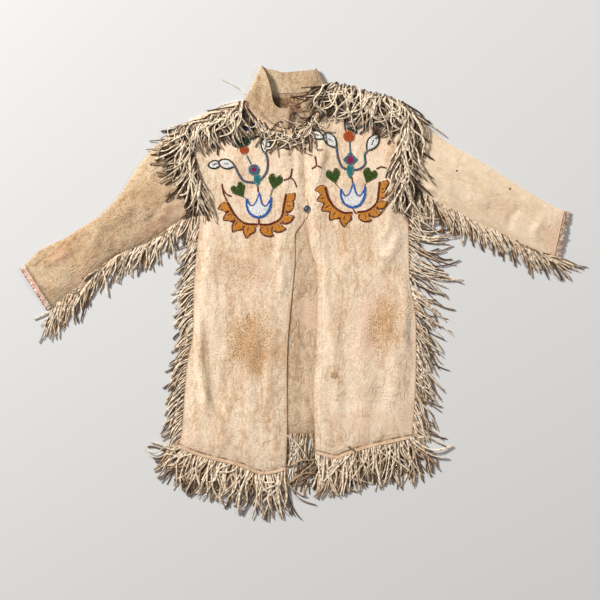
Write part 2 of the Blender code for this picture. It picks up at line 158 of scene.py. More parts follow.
RIGHT_NECK = [(0.000, 0.424), (0.026, 0.452), (0.046, 0.488), (0.070, 0.518)]
RIGHT_SHOULDER = [(0.070, 0.518), (0.164, 0.506), (0.265, 0.484)]

# Sleeves, armhole to cuff: fold x, fold y, underarm x, underarm y
SLEEVE_LEFT = [
    (-0.296, 0.450, -0.268, 0.216), (-0.341, 0.419, -0.283, 0.208), (-0.385, 0.382, -0.302, 0.200),
    (-0.432, 0.325, -0.330, 0.185), (-0.471, 0.263, -0.387, 0.143), (-0.515, 0.216, -0.450, 0.117),
    (-0.533, 0.200, -0.486, 0.099), (-0.582, 0.169, -0.528, 0.068), (-0.619, 0.146, -0.551, 0.039),
    (-0.679, 0.117, -0.606, 0.003), (-0.720, 0.078, -0.650, -0.031),
]
SLEEVE_RIGHT = [
    (0.265, 0.490, 0.273, 0.255), (0.302, 0.458, 0.296, 0.260), (0.333, 0.429, 0.320, 0.263),
    (0.372, 0.400, 0.343, 0.246), (0.416, 0.374, 0.374, 0.231), (0.463, 0.348, 0.406, 0.216),
    (0.515, 0.315, 0.455, 0.187), (0.580, 0.273, 0.512, 0.164), (0.632, 0.242, 0.567, 0.135),
    (0.660, 0.226, 0.611, 0.112), (0.681, 0.218, 0.655, 0.096),
]
TRIM_WAY_LEFT = Vector((-0.85, -0.53))
TRIM_WAY_RIGHT = Vector((0.99, -0.10))


def along(points, at):
    """A point on the smooth curve through points; at runs from 0 to len(points) - 1."""
    last = len(points) - 1
    i = min(max(int(at), 0), last - 1)
    f = at - i
    p1, p2 = points[i], points[i + 1]
    p0 = points[i - 1] if i > 0 else p1 * 2 - p2
    p3 = points[i + 2] if i + 2 <= last else p2 * 2 - p1
    pull = (p2 - p0) * f
    ease_in = (p0 * 2 - p1 * 5 + p2 * 4 - p3) * f * f
    ease_out = (p1 * 3 - p0 - p2 * 3 + p3) * f * f * f
    return (p1 * 2 + pull + ease_in + ease_out) * 0.5


def walk(table, steps, fine_steps=240):
    """steps + 1 points, evenly spaced by length, on the smooth curve through a table."""
    points = [Vector(row) for row in table]
    fine = [along(points, k * (len(points) - 1) / fine_steps) for k in range(fine_steps + 1)]
    reach = np.cumsum([0.0] + [(b - a).length for a, b in zip(fine, fine[1:])])
    wanted = np.linspace(0.0, reach[-1], steps + 1)
    columns = [np.interp(wanted, reach, [p[c] for p in fine]) for c in range(len(fine[0]))]
    return [Vector(row) for row in zip(*columns)]


def legs(*pairs):
    """One edge made of several curves that meet at corners; each pair is (table, steps)."""
    line = []
    for table, steps in pairs:
        part = walk(table, steps)
        line += part if not line else part[1:]
    return line


def ease(value, low, high):
    """0 below low, 1 above high, smooth between; low may be the larger."""
    t = min(max((value - low) / (high - low), 0.0), 1.0)
    return t * t * (3 - 2 * t)


def length_of(points):
    return sum((b - a).length for a, b in zip(points, points[1:]))


print("side seam", round(length_of(walk(SIDE_LEFT, 40)), 3), "m")

# %% [markdown]
# ## Laying a hide
# A cut hide is a grid pulled out to its four edges: each inner point is blended from the edges, so the grid
# follows every curve of the outline. Its height comes from a function of the place, and Solidify then gives
# it the wall. The wall is applied and the cut edges are marked sharp, so the rim stays crisp.

# %% Laying a hide
jacket = bpy.data.collections.new("jacket")
stage.collection.children.link(jacket)


def settle(piece, sharp_angle=50):
    """Apply every modifier, smooth the faces and keep the cut edges crisp."""
    depsgraph = bpy.context.evaluated_depsgraph_get()
    made = bpy.data.meshes.new_from_object(piece.evaluated_get(depsgraph), depsgraph=depsgraph)
    old = piece.data
    piece.modifiers.clear()
    piece.data = made
    bpy.data.meshes.remove(old)
    made.name = piece.name
    made.polygons.foreach_set("use_smooth", [True] * len(made.polygons))
    made.set_sharp_from_angle(angle=math.radians(sharp_angle))
    return piece


def mesh_of(bm, name):
    mesh = bpy.data.meshes.new(name)
    bm.to_mesh(mesh)
    bm.free()
    return mesh


def from_bmesh(bm, name):
    piece = bpy.data.objects.new(name, mesh_of(bm, name))
    jacket.objects.link(piece)
    return piece


def new_bmesh():
    bm = bmesh.new()
    bm.loops.layers.uv.new("flat")
    return bm


def grid_points(bm, wide, tall):
    """Add a grid to bm. Each point comes with its share of the way across, u, and along, v."""
    made = bmesh.ops.create_grid(bm, x_segments=wide, y_segments=tall, size=0.5, calc_uvs=True)
    return [(vert, vert.co.x + 0.5, vert.co.y + 0.5) for vert in made["verts"]]


def pulled_grid(bm, bottom, top, left, right, level):
    """Add a grid to bm, pulled out to four edges. level(x, y, u, v) is its height."""
    wide, tall = len(bottom) - 1, len(left) - 1
    for vert, u, v in grid_points(bm, wide, tall):
        i, j = round(u * wide), round(v * tall)
        ends = left[j] * (1 - u) + right[j] * u
        caps = bottom[i] * (1 - v) + top[i] * v
        low = bottom[0] * (1 - u) + bottom[-1] * u
        high = top[0] * (1 - u) + top[-1] * u
        place = ends + caps - low * (1 - v) - high * v
        vert.co = (place.x, place.y, level(place.x, place.y, u, v))


def wall(piece, thickness, offset, even=True):
    """Give a sheet its thickness: offset 1 outward, -1 inward, 0 half each way."""
    solidify = piece.modifiers.new("wall", "SOLIDIFY")
    solidify.thickness = thickness
    solidify.offset = offset
    solidify.use_even_offset = even
    solidify.use_quality_normals = True
    return settle(piece)


def triangles(piece):
    return sum(len(face.vertices) - 2 for face in piece.data.polygons)


# %% [markdown]
# ## How the hide lies
# Smoke-tanned hide is heavy and soft. It never lies dead flat: it keeps long shallow waves down its length,
# and sharper creases where it was folded or where an arm bent it. Waves come from noise stretched along the
# garment, and each crease is a line with a width and a height that fades out at both ends.

# %% How the hide lies
# Creases of each hide: x0, y0, x1, y1, half width, and height in millimetres
CREASES_LEFT = [
    (-0.272, -0.050, -0.252, -0.300, 0.012, 5.0),
    (-0.292, -0.090, -0.270, -0.240, 0.007, -3.0),
    (-0.258, -0.262, -0.200, -0.355, 0.008, 3.2),
    (-0.240, -0.250, -0.185, -0.340, 0.007, -2.0),
    (-0.130, -0.060, -0.140, -0.420, 0.020, 2.0),
    (-0.080, -0.020, -0.085, -0.330, 0.014, 1.5),
    (-0.190, -0.250, -0.200, -0.410, 0.012, 1.5),
    (-0.215, 0.120, -0.130, 0.075, 0.014, 1.6),
    (-0.240, 0.160, -0.250, 0.000, 0.012, 2.0),
    (-0.230, 0.075, -0.225, -0.110, 0.010, 1.4),
    (-0.060, 0.150, -0.050, 0.010, 0.010, 1.8),
    (-0.175, 0.360, -0.165, 0.290, 0.016, 1.8),
    (-0.045, 0.400, -0.040, 0.260, 0.012, 1.8),
    (-0.012, 0.390, -0.004, 0.250, 0.010, 2.2),
]
CREASES_RIGHT = [
    (0.262, 0.060, 0.272, -0.180, 0.013, 3.2),
    (0.235, -0.020, 0.240, -0.300, 0.016, 2.0),
    (0.165, -0.050, 0.150, -0.360, 0.020, 1.8),
    (0.090, -0.040, 0.085, -0.390, 0.014, 1.5),
    (0.060, 0.140, 0.070, -0.060, 0.009, 1.8),
    (0.120, 0.140, 0.110, 0.030, 0.012, 1.4),
    (0.150, 0.120, 0.240, 0.090, 0.014, 1.6),
    (0.200, 0.060, 0.255, 0.160, 0.012, 2.0),
    (0.055, 0.400, 0.050, 0.300, 0.010, 2.4),
    (0.100, 0.300, 0.190, 0.290, 0.016, 1.4),
    (0.240, 0.250, 0.215, 0.140, 0.010, 2.2),
]
CREASES_BACK = [
    (-0.010, 0.160, -0.006, -0.120, 0.010, 1.6),
    (0.012, 0.080, 0.000, -0.300, 0.008, -1.2),
    (0.020, -0.150, 0.012, -0.350, 0.008, 1.4),
]


def crease_height(x, y, creases):
    """Ridges and troughs, each wandering a little off its line and fading at its ends."""
    total = 0.0
    for x0, y0, x1, y1, half, height in creases:
        run = Vector((x1 - x0, y1 - y0))
        off = Vector((x - x0, y - y0))
        share = off.dot(run) / run.length_squared
        if -0.15 < share < 1.15:
            side = (off.x * run.y - off.y * run.x) / run.length
            side += 0.35 * half * math.sin(share * 9 + x0 * 90)
            if abs(side) < 3 * half:
                fade = ease(share, -0.15, 0.25) * ease(share, 1.15, 0.75)
                total += height * MM * fade * math.exp(-(side / half) ** 2)
    return total


def waves(x, y, seed, stretch_x=1.0, stretch_y=2.6):
    """Long shallow waves down the hide, with a finer ripple on them."""
    broad = noise.noise(Vector((x * 11 / stretch_x, y * 11 / stretch_y, seed)))
    ripple = noise.noise(Vector((x * 34 / stretch_x, y * 34 / stretch_y, seed + 7)))
    cockle = noise.noise(Vector((x * 90, y * 70, seed + 19)))
    return 2.6 * MM * broad + 1.3 * MM * ripple + 0.55 * MM * cockle


print(len(CREASES_LEFT) + len(CREASES_RIGHT), "creases laid by hand on the fronts")

# %% [markdown]
# ## Sleeve ends and armholes
# Where a sleeve joins the body, both must stand at the same height, or the seam would show a step. One small
# function gives the section of a sleeve folded flat: rounded at the fold, pinched at the seam under the arm.

# %% Section of a sleeve folded flat
ARM_LOFT = 14.0 * MM     # height of the sleeve at the armhole
FOLD_MID = 4.5 * MM      # height of the widest point of the fold
SEAM_MID = 2.6 * MM      # height of the seam under the arm
CUFF_LOFT = 11.0 * MM    # height of the sleeve near the cuff
WELD = 0.02 * MM         # points nearer than this become one


def sleeve_middle(t):
    return FOLD_MID * (1 - t) + SEAM_MID * t


def bulge(t):
    """Fullness of a flattened tube at t across it, from fold (0) to seam (1)."""
    if t < 0.5:
        return (1 - (1 - 2 * t) ** 3.2) ** (1 / 2.2)
    return (1 - (2 * t - 1) ** 2.4) ** (1 / 1.5)


def arm_top(t, loft):
    return sleeve_middle(t) + (loft - sleeve_middle(t)) * bulge(t)


print("sleeve height at a quarter across:", round(arm_top(0.25, ARM_LOFT) / MM, 1), "mm")

# %% [markdown]
# ## The back
# The back carries everything else. It lies on the surface with its inside up, and only a strip of it shows
# between the fronts and inside the neck. At each shoulder it rolls over to the front, to where the shoulder
# seam lies, so a narrow strip of it shows above the seam.

# %% The back
ROLL_Z = 6.0 * MM        # height of the shoulder seam
ROLL_OUT = 2.6 * MM      # how far the roll stands out beyond its edges
BACK_RISE = 1.9 * MM     # most that the back may rise off the surface


def back_level(x, y, u, v):
    """Height of the back's underside, which comes down to the surface at its seams."""
    near_edge = min(ease(u, 0, 0.12), ease(1 - u, 0, 0.12), ease(v, 0, 0.05), ease(1 - v, 0, 0.05))
    lie = 0.5 * (waves(x, y, 3.0) + 2.0 * MM) + crease_height(x, y, CREASES_BACK)
    return max(0.0, min(lie, BACK_RISE)) * near_edge


def shoulder_roll(bm, outer, inner):
    """The strip of the back that turns over the shoulder, from its outer edge to the seam."""
    for vert, u, v in grid_points(bm, len(outer) - 1, 6):
        i = round(u * (len(outer) - 1))
        way = outer[i] - inner[i]
        way = way.normalized() if way.length > 1e-6 else Vector((0, 1))
        spot = outer[i].lerp(inner[i], v * v) + way * ROLL_OUT * math.sin(math.pi * v)
        vert.co = (spot.x, spot.y, ROLL_Z * (0.5 - 0.5 * math.cos(math.pi * v)))


bm = new_bmesh()
shoulder_left = walk(BACK_SHOULDER_LEFT, 34)
shoulder_right = walk(BACK_SHOULDER_RIGHT, 44)
back_top = shoulder_left + walk(BACK_NECK, 44)[1:] + shoulder_right[1:]
pulled_grid(
    bm,
    walk(BACK_HEM, 122),
    back_top,
    legs((SIDE_LEFT[1:], 110), (ARMHOLE_LEFT, 46)),
    legs((SIDE_RIGHT, 110), (ARMHOLE_RIGHT, 46)),
    back_level,
)
shoulder_roll(bm, shoulder_left, walk(LEFT_SHOULDER, 34))
shoulder_roll(bm, shoulder_right, walk([RIGHT_SHOULDER[0], (0.110, 0.513), *RIGHT_SHOULDER[1:]], 44))
bmesh.ops.remove_doubles(bm, verts=bm.verts, dist=0.4 * MM)
back = wall(from_bmesh(bm, "back_hide"), HIDE, 1.0)
print("back:", triangles(back), "triangles")

# %% [markdown]
# ## The two fronts
# Each front is one hide from shoulder to hem. It meets the back at the side seam and stands proud of it in
# the middle, because the back, the seam allowances and some air are under it. Above the button the right
# front laps over the left.

# %% The two fronts
CREASE_DEPTH = 1.35
BODY_PUFF = 4.2 * MM     # how far the middle of a front stands off the back
ARM_SHARE = 46 / 156     # share of a front's outer edge that is armhole
HEM_TURN = 0.012         # where the hem's turning ends, as a share of the way up
HEM_RIPPLE = 1.9 * MM


def front_level(x, y, u, v, side, creases, seed):
    """Height of a front's underside. side is 0 where the outer edge is at u = 0, 1 where it is at u = 1."""
    outer = u if side == 0 else 1 - u
    inner = 1 - outer
    seams = min(ease(outer, 0, 0.17), 0.35 + 0.65 * ease(inner, 0, 0.12), 0.35 + 0.65 * ease(v, 0, 0.06))
    near_edge = ease(outer, 0, 0.035) * ease(v, 0, 0.02)
    pucker = 1.0 + 0.9 * noise.noise(Vector((x * 110, 3.0, seed)))
    fold_line = math.exp(-((v - HEM_TURN) / 0.005) ** 2)
    hem = HEM_RIPPLE * pucker * (0.6 * math.exp(-(v / 0.005) ** 2) - fold_line)
    folds = CREASE_DEPTH * crease_height(x, y, creases) * near_edge
    body = max(0.0, (BODY_PUFF + waves(x, y, seed)) * seams + folds + hem)
    t = 1 - (v - (1 - ARM_SHARE)) / ARM_SHARE
    arm = arm_top(min(max(t, 0.0), 1.0), ARM_LOFT) - HIDE - FRONT_Z
    near_arm = ease(outer, 0.24, 0.0) * ease(v, 1 - ARM_SHARE - 0.02, 1 - ARM_SHARE + 0.05)
    body = body * (1 - near_arm) + max(arm, 0.0) * near_arm
    top = ease(v, 0.93, 1.0)
    return FRONT_Z + body * (1 - top) + (ROLL_Z - FRONT_Z) * top


def lap(x, y):
    """How far the right front rises over the left one above the button."""
    return 2.4 * MM * ease(x, 0.075, 0.040) * ease(y, 0.090, 0.150)


def tuck(x):
    """How far the left front's edge sinks under the right one."""
    return 1.05 * MM * ease(x, -0.03, 0.01)


bm = new_bmesh()
pulled_grid(
    bm,
    walk(LEFT_HEM, 64),
    legs((LEFT_SHOULDER, 30), (LEFT_NECK, 34)),
    legs((SIDE_LEFT, 110), ([ARMHOLE_LEFT[0], (-0.296, 0.444)], 46)),
    walk(LEFT_EDGE, 156),
    lambda x, y, u, v: front_level(x, y, u, v, 0, CREASES_LEFT, 11.0) - tuck(x),
)
front_left = wall(from_bmesh(bm, "front_left_hide"), HIDE, 1.0)

bm = new_bmesh()
pulled_grid(
    bm,
    walk(RIGHT_HEM, 60),
    legs((RIGHT_NECK, 22), (RIGHT_SHOULDER, 38)),
    walk(RIGHT_EDGE, 156),
    legs((SIDE_RIGHT, 110), ([ARMHOLE_RIGHT[0], (0.265, 0.484)], 46)),
    lambda x, y, u, v: front_level(x, y, u, v, 1, CREASES_RIGHT, 23.0) + lap(x, y),
)
front_right = wall(from_bmesh(bm, "front_right_hide"), HIDE, 1.0)
print("fronts:", triangles(front_left), "and", triangles(front_right), "triangles")

# %% [markdown]
# ## Sleeves
# A sleeve is one hide folded along the top of the arm and sewn under it. A grid is rolled into a tube and
# flattened: round at the fold, pinched at the seam. Creases cross the upper layer where the elbow bent.

# %% Sleeves
CREASES_SLEEVE_LEFT = [
    (-0.520, 0.185, -0.470, 0.120, 0.010, -3.0),
    (-0.545, 0.170, -0.500, 0.112, 0.010, 2.0),
    (-0.400, 0.320, -0.345, 0.230, 0.016, 2.2),
    (-0.455, 0.250, -0.390, 0.190, 0.016, 2.0),
    (-0.430, 0.240, -0.560, 0.130, 0.012, 1.6),
    (-0.640, 0.110, -0.600, 0.050, 0.012, 1.8),
    (-0.590, 0.125, -0.680, 0.065, 0.010, 1.6),
    (-0.330, 0.260, -0.420, 0.175, 0.012, -2.2),
    (-0.690, 0.085, -0.655, 0.020, 0.008, -1.6),
]
CREASES_SLEEVE_RIGHT = [
    (0.268, 0.300, 0.345, 0.268, 0.007, 5.0),
    (0.272, 0.275, 0.352, 0.246, 0.007, -5.0),
    (0.290, 0.320, 0.380, 0.250, 0.008, -2.6),
    (0.300, 0.345, 0.400, 0.262, 0.012, 2.6),
    (0.420, 0.300, 0.480, 0.220, 0.014, 1.8),
    (0.380, 0.350, 0.520, 0.260, 0.018, 1.6),
    (0.520, 0.270, 0.640, 0.190, 0.016, 1.4),
    (0.560, 0.230, 0.530, 0.170, 0.010, -1.8),
    (0.620, 0.200, 0.600, 0.140, 0.010, 1.6),
]


def flat_tube(name, round_steps, long_steps, place, thickness, even=True):
    """A grid rolled into a flattened tube with a wall. place(u, v, t, above) is where a point goes: u runs
    round the tube from the fold, v along it, and t across it from the fold (0) to the seam (1)."""
    bm = new_bmesh()
    for vert, u, v in grid_points(bm, round_steps, long_steps):
        vert.co = place(u, v, 0.5 - 0.5 * math.cos(2 * math.pi * u), 2 * math.pi * u <= math.pi)
    bmesh.ops.remove_doubles(bm, verts=bm.verts, dist=WELD)
    bmesh.ops.recalc_face_normals(bm, faces=bm.faces)
    piece = from_bmesh(bm, name)
    if max(piece.data.polygons, key=lambda face: face.center.z).normal.z < 0:
        piece.data.flip_normals()
    return wall(piece, thickness, -1.0, even)


def rolled_sleeve(name, table, creases, seed, way, long_steps=110):
    """A sleeve from a table of its fold and its seam. way points from the body to the cuff."""
    lines = walk(table, long_steps)

    def place(u, v, t, above):
        row = lines[round(v * long_steps)]
        out = way * (1.0 * MM * (1 - v) ** 20)
        spot = (row.xy + out).lerp(Vector((row[2], row[3])) + out, t)
        floor = sleeve_middle(t) * (1 - bulge(t))
        if not above:
            return (spot.x, spot.y, floor)
        loft = ARM_LOFT + (CUFF_LOFT - ARM_LOFT) * ease(v, 0.0, 0.9)
        body = ease(v, 0.0, 0.08) * bulge(t) * ease(1 - v, 0.0, 0.05)
        lift = waves(spot.x, spot.y, seed, 1.6, 1.6) + 1.5 * crease_height(spot.x, spot.y, creases)
        least = floor + (2 * HIDE + 0.6 * MM) * bulge(t)
        return (spot.x, spot.y, max(arm_top(t, loft) + lift * body, least))

    return flat_tube(name, 72, long_steps, place, HIDE)


sleeve_left = rolled_sleeve("sleeve_left_hide", SLEEVE_LEFT, CREASES_SLEEVE_LEFT, 31.0, Vector((-1, 0)))
sleeve_right = rolled_sleeve("sleeve_right_hide", SLEEVE_RIGHT, CREASES_SLEEVE_RIGHT, 43.0, Vector((1, 0)))
print("sleeves:", triangles(sleeve_left), "and", triangles(sleeve_right), "triangles")

# %% [markdown]
# ## Pinked cuffs
# A strip of hide cut into small points finishes each cuff. It is a short rolled tube like the sleeve, and
# its free edge is pulled in and out to make the points.

# %% Pinked cuffs
TRIM_DEEP = 18.0 * MM    # width of the strip
TOOTH = 6.0 * MM         # depth of a notch
TEETH = 44
TRIM_LOFT = 9.0 * MM


def pinked_cuff(name, last, way, seed):
    """A strip round the cuff. last is the sleeve's last row; way is where its points point."""
    fold, under = Vector(last[:2]), Vector(last[2:])

    def place(u, v, t, above):
        tooth = abs((u * TEETH) % 1.0 - 0.5) * 2
        out = 1.0 * MM + TRIM_DEEP * v - TOOTH * tooth * ease(v, 0.55, 1.0)
        spot = fold.lerp(under, t) + way * out
        if not above:
            return (spot.x, spot.y, sleeve_middle(t) * (1 - bulge(t)))
        flutter = 5.0 * MM * v * noise.noise(Vector((spot.x * 95, spot.y * 95, seed)))
        rise = arm_top(t, TRIM_LOFT * (1 - 0.35 * v)) + 1.2 * MM * (1 - v) * bulge(t)
        return (spot.x, spot.y, rise + flutter)

    return flat_tube(name, 3 * TEETH, 6, place, 1.4 * MM, even=False)


cuff_left = pinked_cuff("cuff_left_strip", SLEEVE_LEFT[-1], TRIM_WAY_LEFT, 51.0)
cuff_right = pinked_cuff("cuff_right_strip", SLEEVE_RIGHT[-1], TRIM_WAY_RIGHT, 57.0)
print("cuff strips:", triangles(cuff_left), "triangles each")

# %% [markdown]
# ## Stand collar
# The collar is one upright band. On a coat laid down it falls flat behind the neck, turns over at two peaks
# and comes forward to the throat, so its two ends lie over the fronts and its inside shows behind.

# %% Stand collar
# From the left end round the back to the right end:
# seam x, seam y, free edge x, free edge y, height at the seam, height at the free edge
COLLAR = [
    (-0.036, 0.432, -0.029, 0.486, 10.0 * MM, 15.0 * MM),
    (-0.062, 0.439, -0.060, 0.486, 10.0 * MM, 16.5 * MM),
    (-0.094, 0.460, -0.075, 0.504, 9.5 * MM, 18.0 * MM),
    (-0.122, 0.486, -0.081, 0.538, 9.0 * MM, 19.0 * MM),
    (-0.138, 0.500, -0.093, 0.575, 8.5 * MM, 18.0 * MM),
    (-0.145, 0.506, -0.1025, 0.592, 6.5 * MM, 14.0 * MM),
    (-0.146, 0.508, -0.104, 0.5955, 4.0 * MM, 9.0 * MM),
    (-0.142, 0.509, -0.100, 0.593, 1.6 * MM, 4.0 * MM),
    (-0.130, 0.513, -0.090, 0.588, 1.0 * MM, 2.0 * MM),
    (-0.104, 0.521, -0.070, 0.584, 1.0 * MM, 1.6 * MM),
    (-0.055, 0.524, -0.050, 0.579, 1.0 * MM, 1.2 * MM),
    (-0.005, 0.526, -0.005, 0.582, 1.0 * MM, 1.6 * MM),
    (0.031, 0.532, 0.026, 0.585, 1.0 * MM, 2.2 * MM),
    (0.052, 0.542, 0.032, 0.586, 1.2 * MM, 4.0 * MM),
    (0.059, 0.548, 0.0362, 0.5885, 3.0 * MM, 7.0 * MM),
    (0.060, 0.550, 0.037, 0.589, 6.0 * MM, 11.0 * MM),
    (0.059, 0.546, 0.035, 0.586, 9.0 * MM, 15.0 * MM),
    (0.055, 0.537, 0.030, 0.568, 10.0 * MM, 17.0 * MM),
    (0.044, 0.512, 0.021, 0.533, 10.5 * MM, 17.0 * MM),
    (0.028, 0.481, 0.008, 0.512, 11.0 * MM, 15.0 * MM),
    (0.012, 0.452, -0.005, 0.489, 11.0 * MM, 13.5 * MM),
]

COLLAR_LONG, COLLAR_HIGH = 150, 16
collar_rows = walk(COLLAR, COLLAR_LONG, 900)
bm = new_bmesh()
for vert, u, v in grid_points(bm, COLLAR_LONG, COLLAR_HIGH):
    seam_x, seam_y, free_x, free_y, seam_z, free_z = collar_rows[round(u * COLLAR_LONG)]
    spot = Vector((seam_x, seam_y, seam_z)).lerp(Vector((free_x, free_y, free_z)), v)
    spot.z += 1.6 * MM * math.sin(math.pi * v) * ease(spot.z, 2.0 * MM, 8.0 * MM)
    ripple = noise.noise(Vector((spot.x * 45, spot.y * 45, 71.0))) * 0.9 * MM
    spot.z = max(spot.z + ripple * v, 0.95 * MM)
    vert.co = spot
collar = wall(from_bmesh(bm, "collar_band"), HIDE, 0.0)
print("collar:", triangles(collar), "triangles")

# %% [markdown]
# ## What lies under a thong
# Thongs, stitches and beads all lie on the hides, so they need the height of whatever is under a point. A
# tree of each finished hide answers that quickly when a ray is dropped on it from above.

# %% What lies under a thong
depsgraph = bpy.context.evaluated_depsgraph_get()
HIDES = [back, front_left, front_right, sleeve_left, sleeve_right, cuff_left, cuff_right, collar]
trees = [BVHTree.FromObject(hide, depsgraph) for hide in HIDES]
FRONTS_ONLY = trees[1:3]
DOWN = Vector((0, 0, -1))


def ground(x, y, over=trees):
    """The top of the highest hide at a point, or the surface."""
    best = 0.0
    for tree in over:
        hit = tree.ray_cast(Vector((x, y, 0.2)), DOWN)[0]
        if hit is not None:
            best = max(best, hit.z)
    return best


print("the right front stands", round(ground(0.15, 0.0) / MM, 1), "mm off the surface")

# %% [markdown]
# ## Cutting thongs
# A thong is a strip of hide about as thick as it is wide once it has dried and curled. One short bar is
# extruded ring by ring into a template. An array repeats the template once for each thong of a fringe, and
# each copy is then bent along its own path and twisted. Two attributes go with each point: a tone that
# differs from thong to thong, and how far along the thong it is.

# %% Cutting thongs
THONG_RINGS, THONG_SIDES = 12, 6


def template(sides, rings):
    """A straight bar of rings, one unit apart along Z, closed at both ends."""
    bm = bmesh.new()
    bmesh.ops.create_circle(bm, cap_ends=True, segments=sides, radius=0.5)
    end = bm.faces[:]
    for ring in range(1, rings):
        grown = bmesh.ops.extrude_face_region(bm, geom=end)["geom"]
        bmesh.ops.translate(bm, vec=(0, 0, 1), verts=[g for g in grown if isinstance(g, bmesh.types.BMVert)])
        if ring > 1:
            bmesh.ops.delete(bm, geom=end, context="FACES_ONLY")
        end = [g for g in grown if isinstance(g, bmesh.types.BMFace)]
    bmesh.ops.recalc_face_normals(bm, faces=bm.faces)
    return mesh_of(bm, "template")


def repeated(name, mesh, count):
    """One piece of many copies of a small mesh, all in the same place, and the template's points."""
    piece = bpy.data.objects.new(name, mesh.copy())
    jacket.objects.link(piece)
    many = piece.modifiers.new("copies", "ARRAY")
    many.use_relative_offset = False
    many.count = count
    settle(piece, 62)
    points = np.empty(len(mesh.vertices) * 3)
    mesh.vertices.foreach_get("co", points)
    return piece, points.reshape(-1, 3)


def move_points(piece, places):
    piece.data.vertices.foreach_set("co", np.concatenate(places).ravel())
    piece.data.update()


def note(piece, name, kind, field, values):
    """Write an attribute of the piece's points."""
    piece.data.attributes.new(name, kind, "POINT").data.foreach_set(field, np.concatenate(values).ravel())


THONG = template(THONG_SIDES, THONG_RINGS)


def bent_copies(name, mesh, runs):
    """Bend a copy of the template along each run: path, widths, thicknesses, twists, tone."""
    piece, points = repeated(name, mesh, len(runs))
    ring = np.rint(points[:, 2]).astype(int)
    places, tones, reaches = [], [], []
    for path, width, thick, twist, tone in runs:
        path = np.array(path)
        ahead = np.gradient(path, axis=0)
        ahead /= np.linalg.norm(ahead, axis=1)[:, None]
        side = np.cross(ahead, (0, 0, 1.0))
        side /= np.linalg.norm(side, axis=1)[:, None] + 1e-9
        up = np.cross(side, ahead)
        turn = np.array(twist)[:, None]
        across = side * np.cos(turn) + up * np.sin(turn)
        over = up * np.cos(turn) - side * np.sin(turn)
        wide, thin = np.array(width)[ring][:, None], np.array(thick)[ring][:, None]
        places.append(path[ring] + across[ring] * points[:, :1] * wide + over[ring] * points[:, 1:2] * thin)
        tones.append(np.full(len(points), tone))
        reaches.append(ring / ring.max())
    move_points(piece, places)
    note(piece, "tone", "FLOAT", "value", tones)
    note(piece, "reach", "FLOAT", "value", reaches)
    return piece


print("a thong has", len(THONG.polygons), "faces")

# %% [markdown]
# ## How thongs fall
# A fringe that has been worn falls in locks: neighbours lie side by side, and one lock crosses the next. A
# table for each fringe says, from one end of its root to the other, which way the thongs point, how long
# they are, how far they stray and how far they turn as they run. A fence keeps a heap from spreading too
# far. Slow noise turns whole locks, and chance from a fixed seed does the rest. Each step of a thong
# settles on what is under it, and upper layers lie higher and have lighter tones, so the lower layers
# carry painted shade.

# %% How thongs fall
ROOT_STEPS = 300         # places along a root where a thong may start
THIN = 1.5 * MM          # least thickness of a thong
FLOOR_THICK = 1.2 * MM   # thickness of a thong pressed flat under the others
FLOOR_Z = 1.0 * MM       # and the height of its middle
DROOP = 0.4              # the most that a thong drops at a step, as a share of the step


def lay_thong(rng, root, heading, length, curl, sway, lift, width, tone, turn=0.0,
              fence=(-400, 400), root_z=None, floor=False):
    """One thong: its path and the widths, twists and tone that go with it."""
    x, y = root
    steps = THONG_RINGS - 1
    step = length / steps
    bend = (turn + rng.gauss(0, curl)) / steps
    swing, phase, pace = rng.gauss(0, sway), rng.uniform(0, 6.3), rng.uniform(0.45, 0.85)
    twist0, twist1 = rng.gauss(0, 0.35), rng.gauss(0, 0.9)
    thick = max(THIN, 0.45 * width)
    half = 0.5 * max(thick, 0.75 * width)
    z = FLOOR_Z if floor else root_z or ground(x, y) + half
    path = [(x, y, z)]
    for k in range(1, steps + 1):
        heading += bend + swing * pace * math.cos(phase + k * pace)
        heading = min(max(heading, math.radians(fence[0])), math.radians(fence[1]))
        x += step * math.cos(heading)
        y += step * math.sin(heading)
        rise = lift * math.sin(math.pi * min(1.0, k / steps * 0.8 + 0.15))
        rest = FLOOR_Z if floor else ground(x, y) + half + rise
        z = max(rest, z - DROOP * step)
        path.append((x, y, z))
    twist = [(twist0 + twist1 * k / steps) * (0.3 if floor else 1.0) for k in range(steps + 1)]
    widths = [width * (0.90 + 0.10 * math.sin(k * 1.3 + phase)) for k in range(steps + 1)]
    widths[-1] *= 0.75
    return path, widths, [FLOOR_THICK if floor else thick] * (steps + 1), twist, tone


fringes = {}


def fringe(name, root, count, width, lift, curl, seed, falls, sway=0.10, layers=2, off=0.0, locks=16,
           fence=(-400, 400), root_z=None, floor=False, ragged=0.22):
    """A fringe along a root line. width and lift are in millimetres. falls: share along the root,
    heading, length, stray and turn, with angles in degrees."""
    rng = random.Random(seed)
    line = walk(root, ROOT_STEPS)
    table = np.array(falls)
    runs = []
    for layer in range(layers):
        for i in range(count // layers):
            share = (i + rng.uniform(0.1, 0.9)) / (count // layers)
            spot = line[min(ROOT_STEPS, int(share * ROOT_STEPS))]
            heading, length, stray, turn = (np.interp(share, table[:, 0], table[:, k]) for k in (1, 2, 3, 4))
            lock = noise.noise(Vector((share * locks, seed * 0.37, layer * 5.3)))
            heading += stray * (1.9 * lock + rng.gauss(0, 0.42))
            # Lower layers get lower tones, which the thong materials paint darker: painted shade from the
            # thongs above, with a random share for each thong.
            tone = (layer + 0.9 * rng.random()) / layers
            runs.append(lay_thong(
                rng,
                (spot.x + rng.uniform(-off, off), spot.y + rng.uniform(-off, off)),
                math.radians(heading),
                length * rng.uniform(1.0 - ragged, 1.10),
                curl, sway,
                lift * MM * (layer + rng.random()) / layers,
                width * MM * rng.uniform(0.75, 1.25),
                tone, math.radians(turn), fence, root_z, floor,
            ))
    piece = fringes[name] = bent_copies("fringe_" + name + "_thongs", THONG, runs)
    print(f"{name}: {len(runs)} thongs, {triangles(piece)} triangles")


print("a thong is at least", THIN / MM, "mm thick")

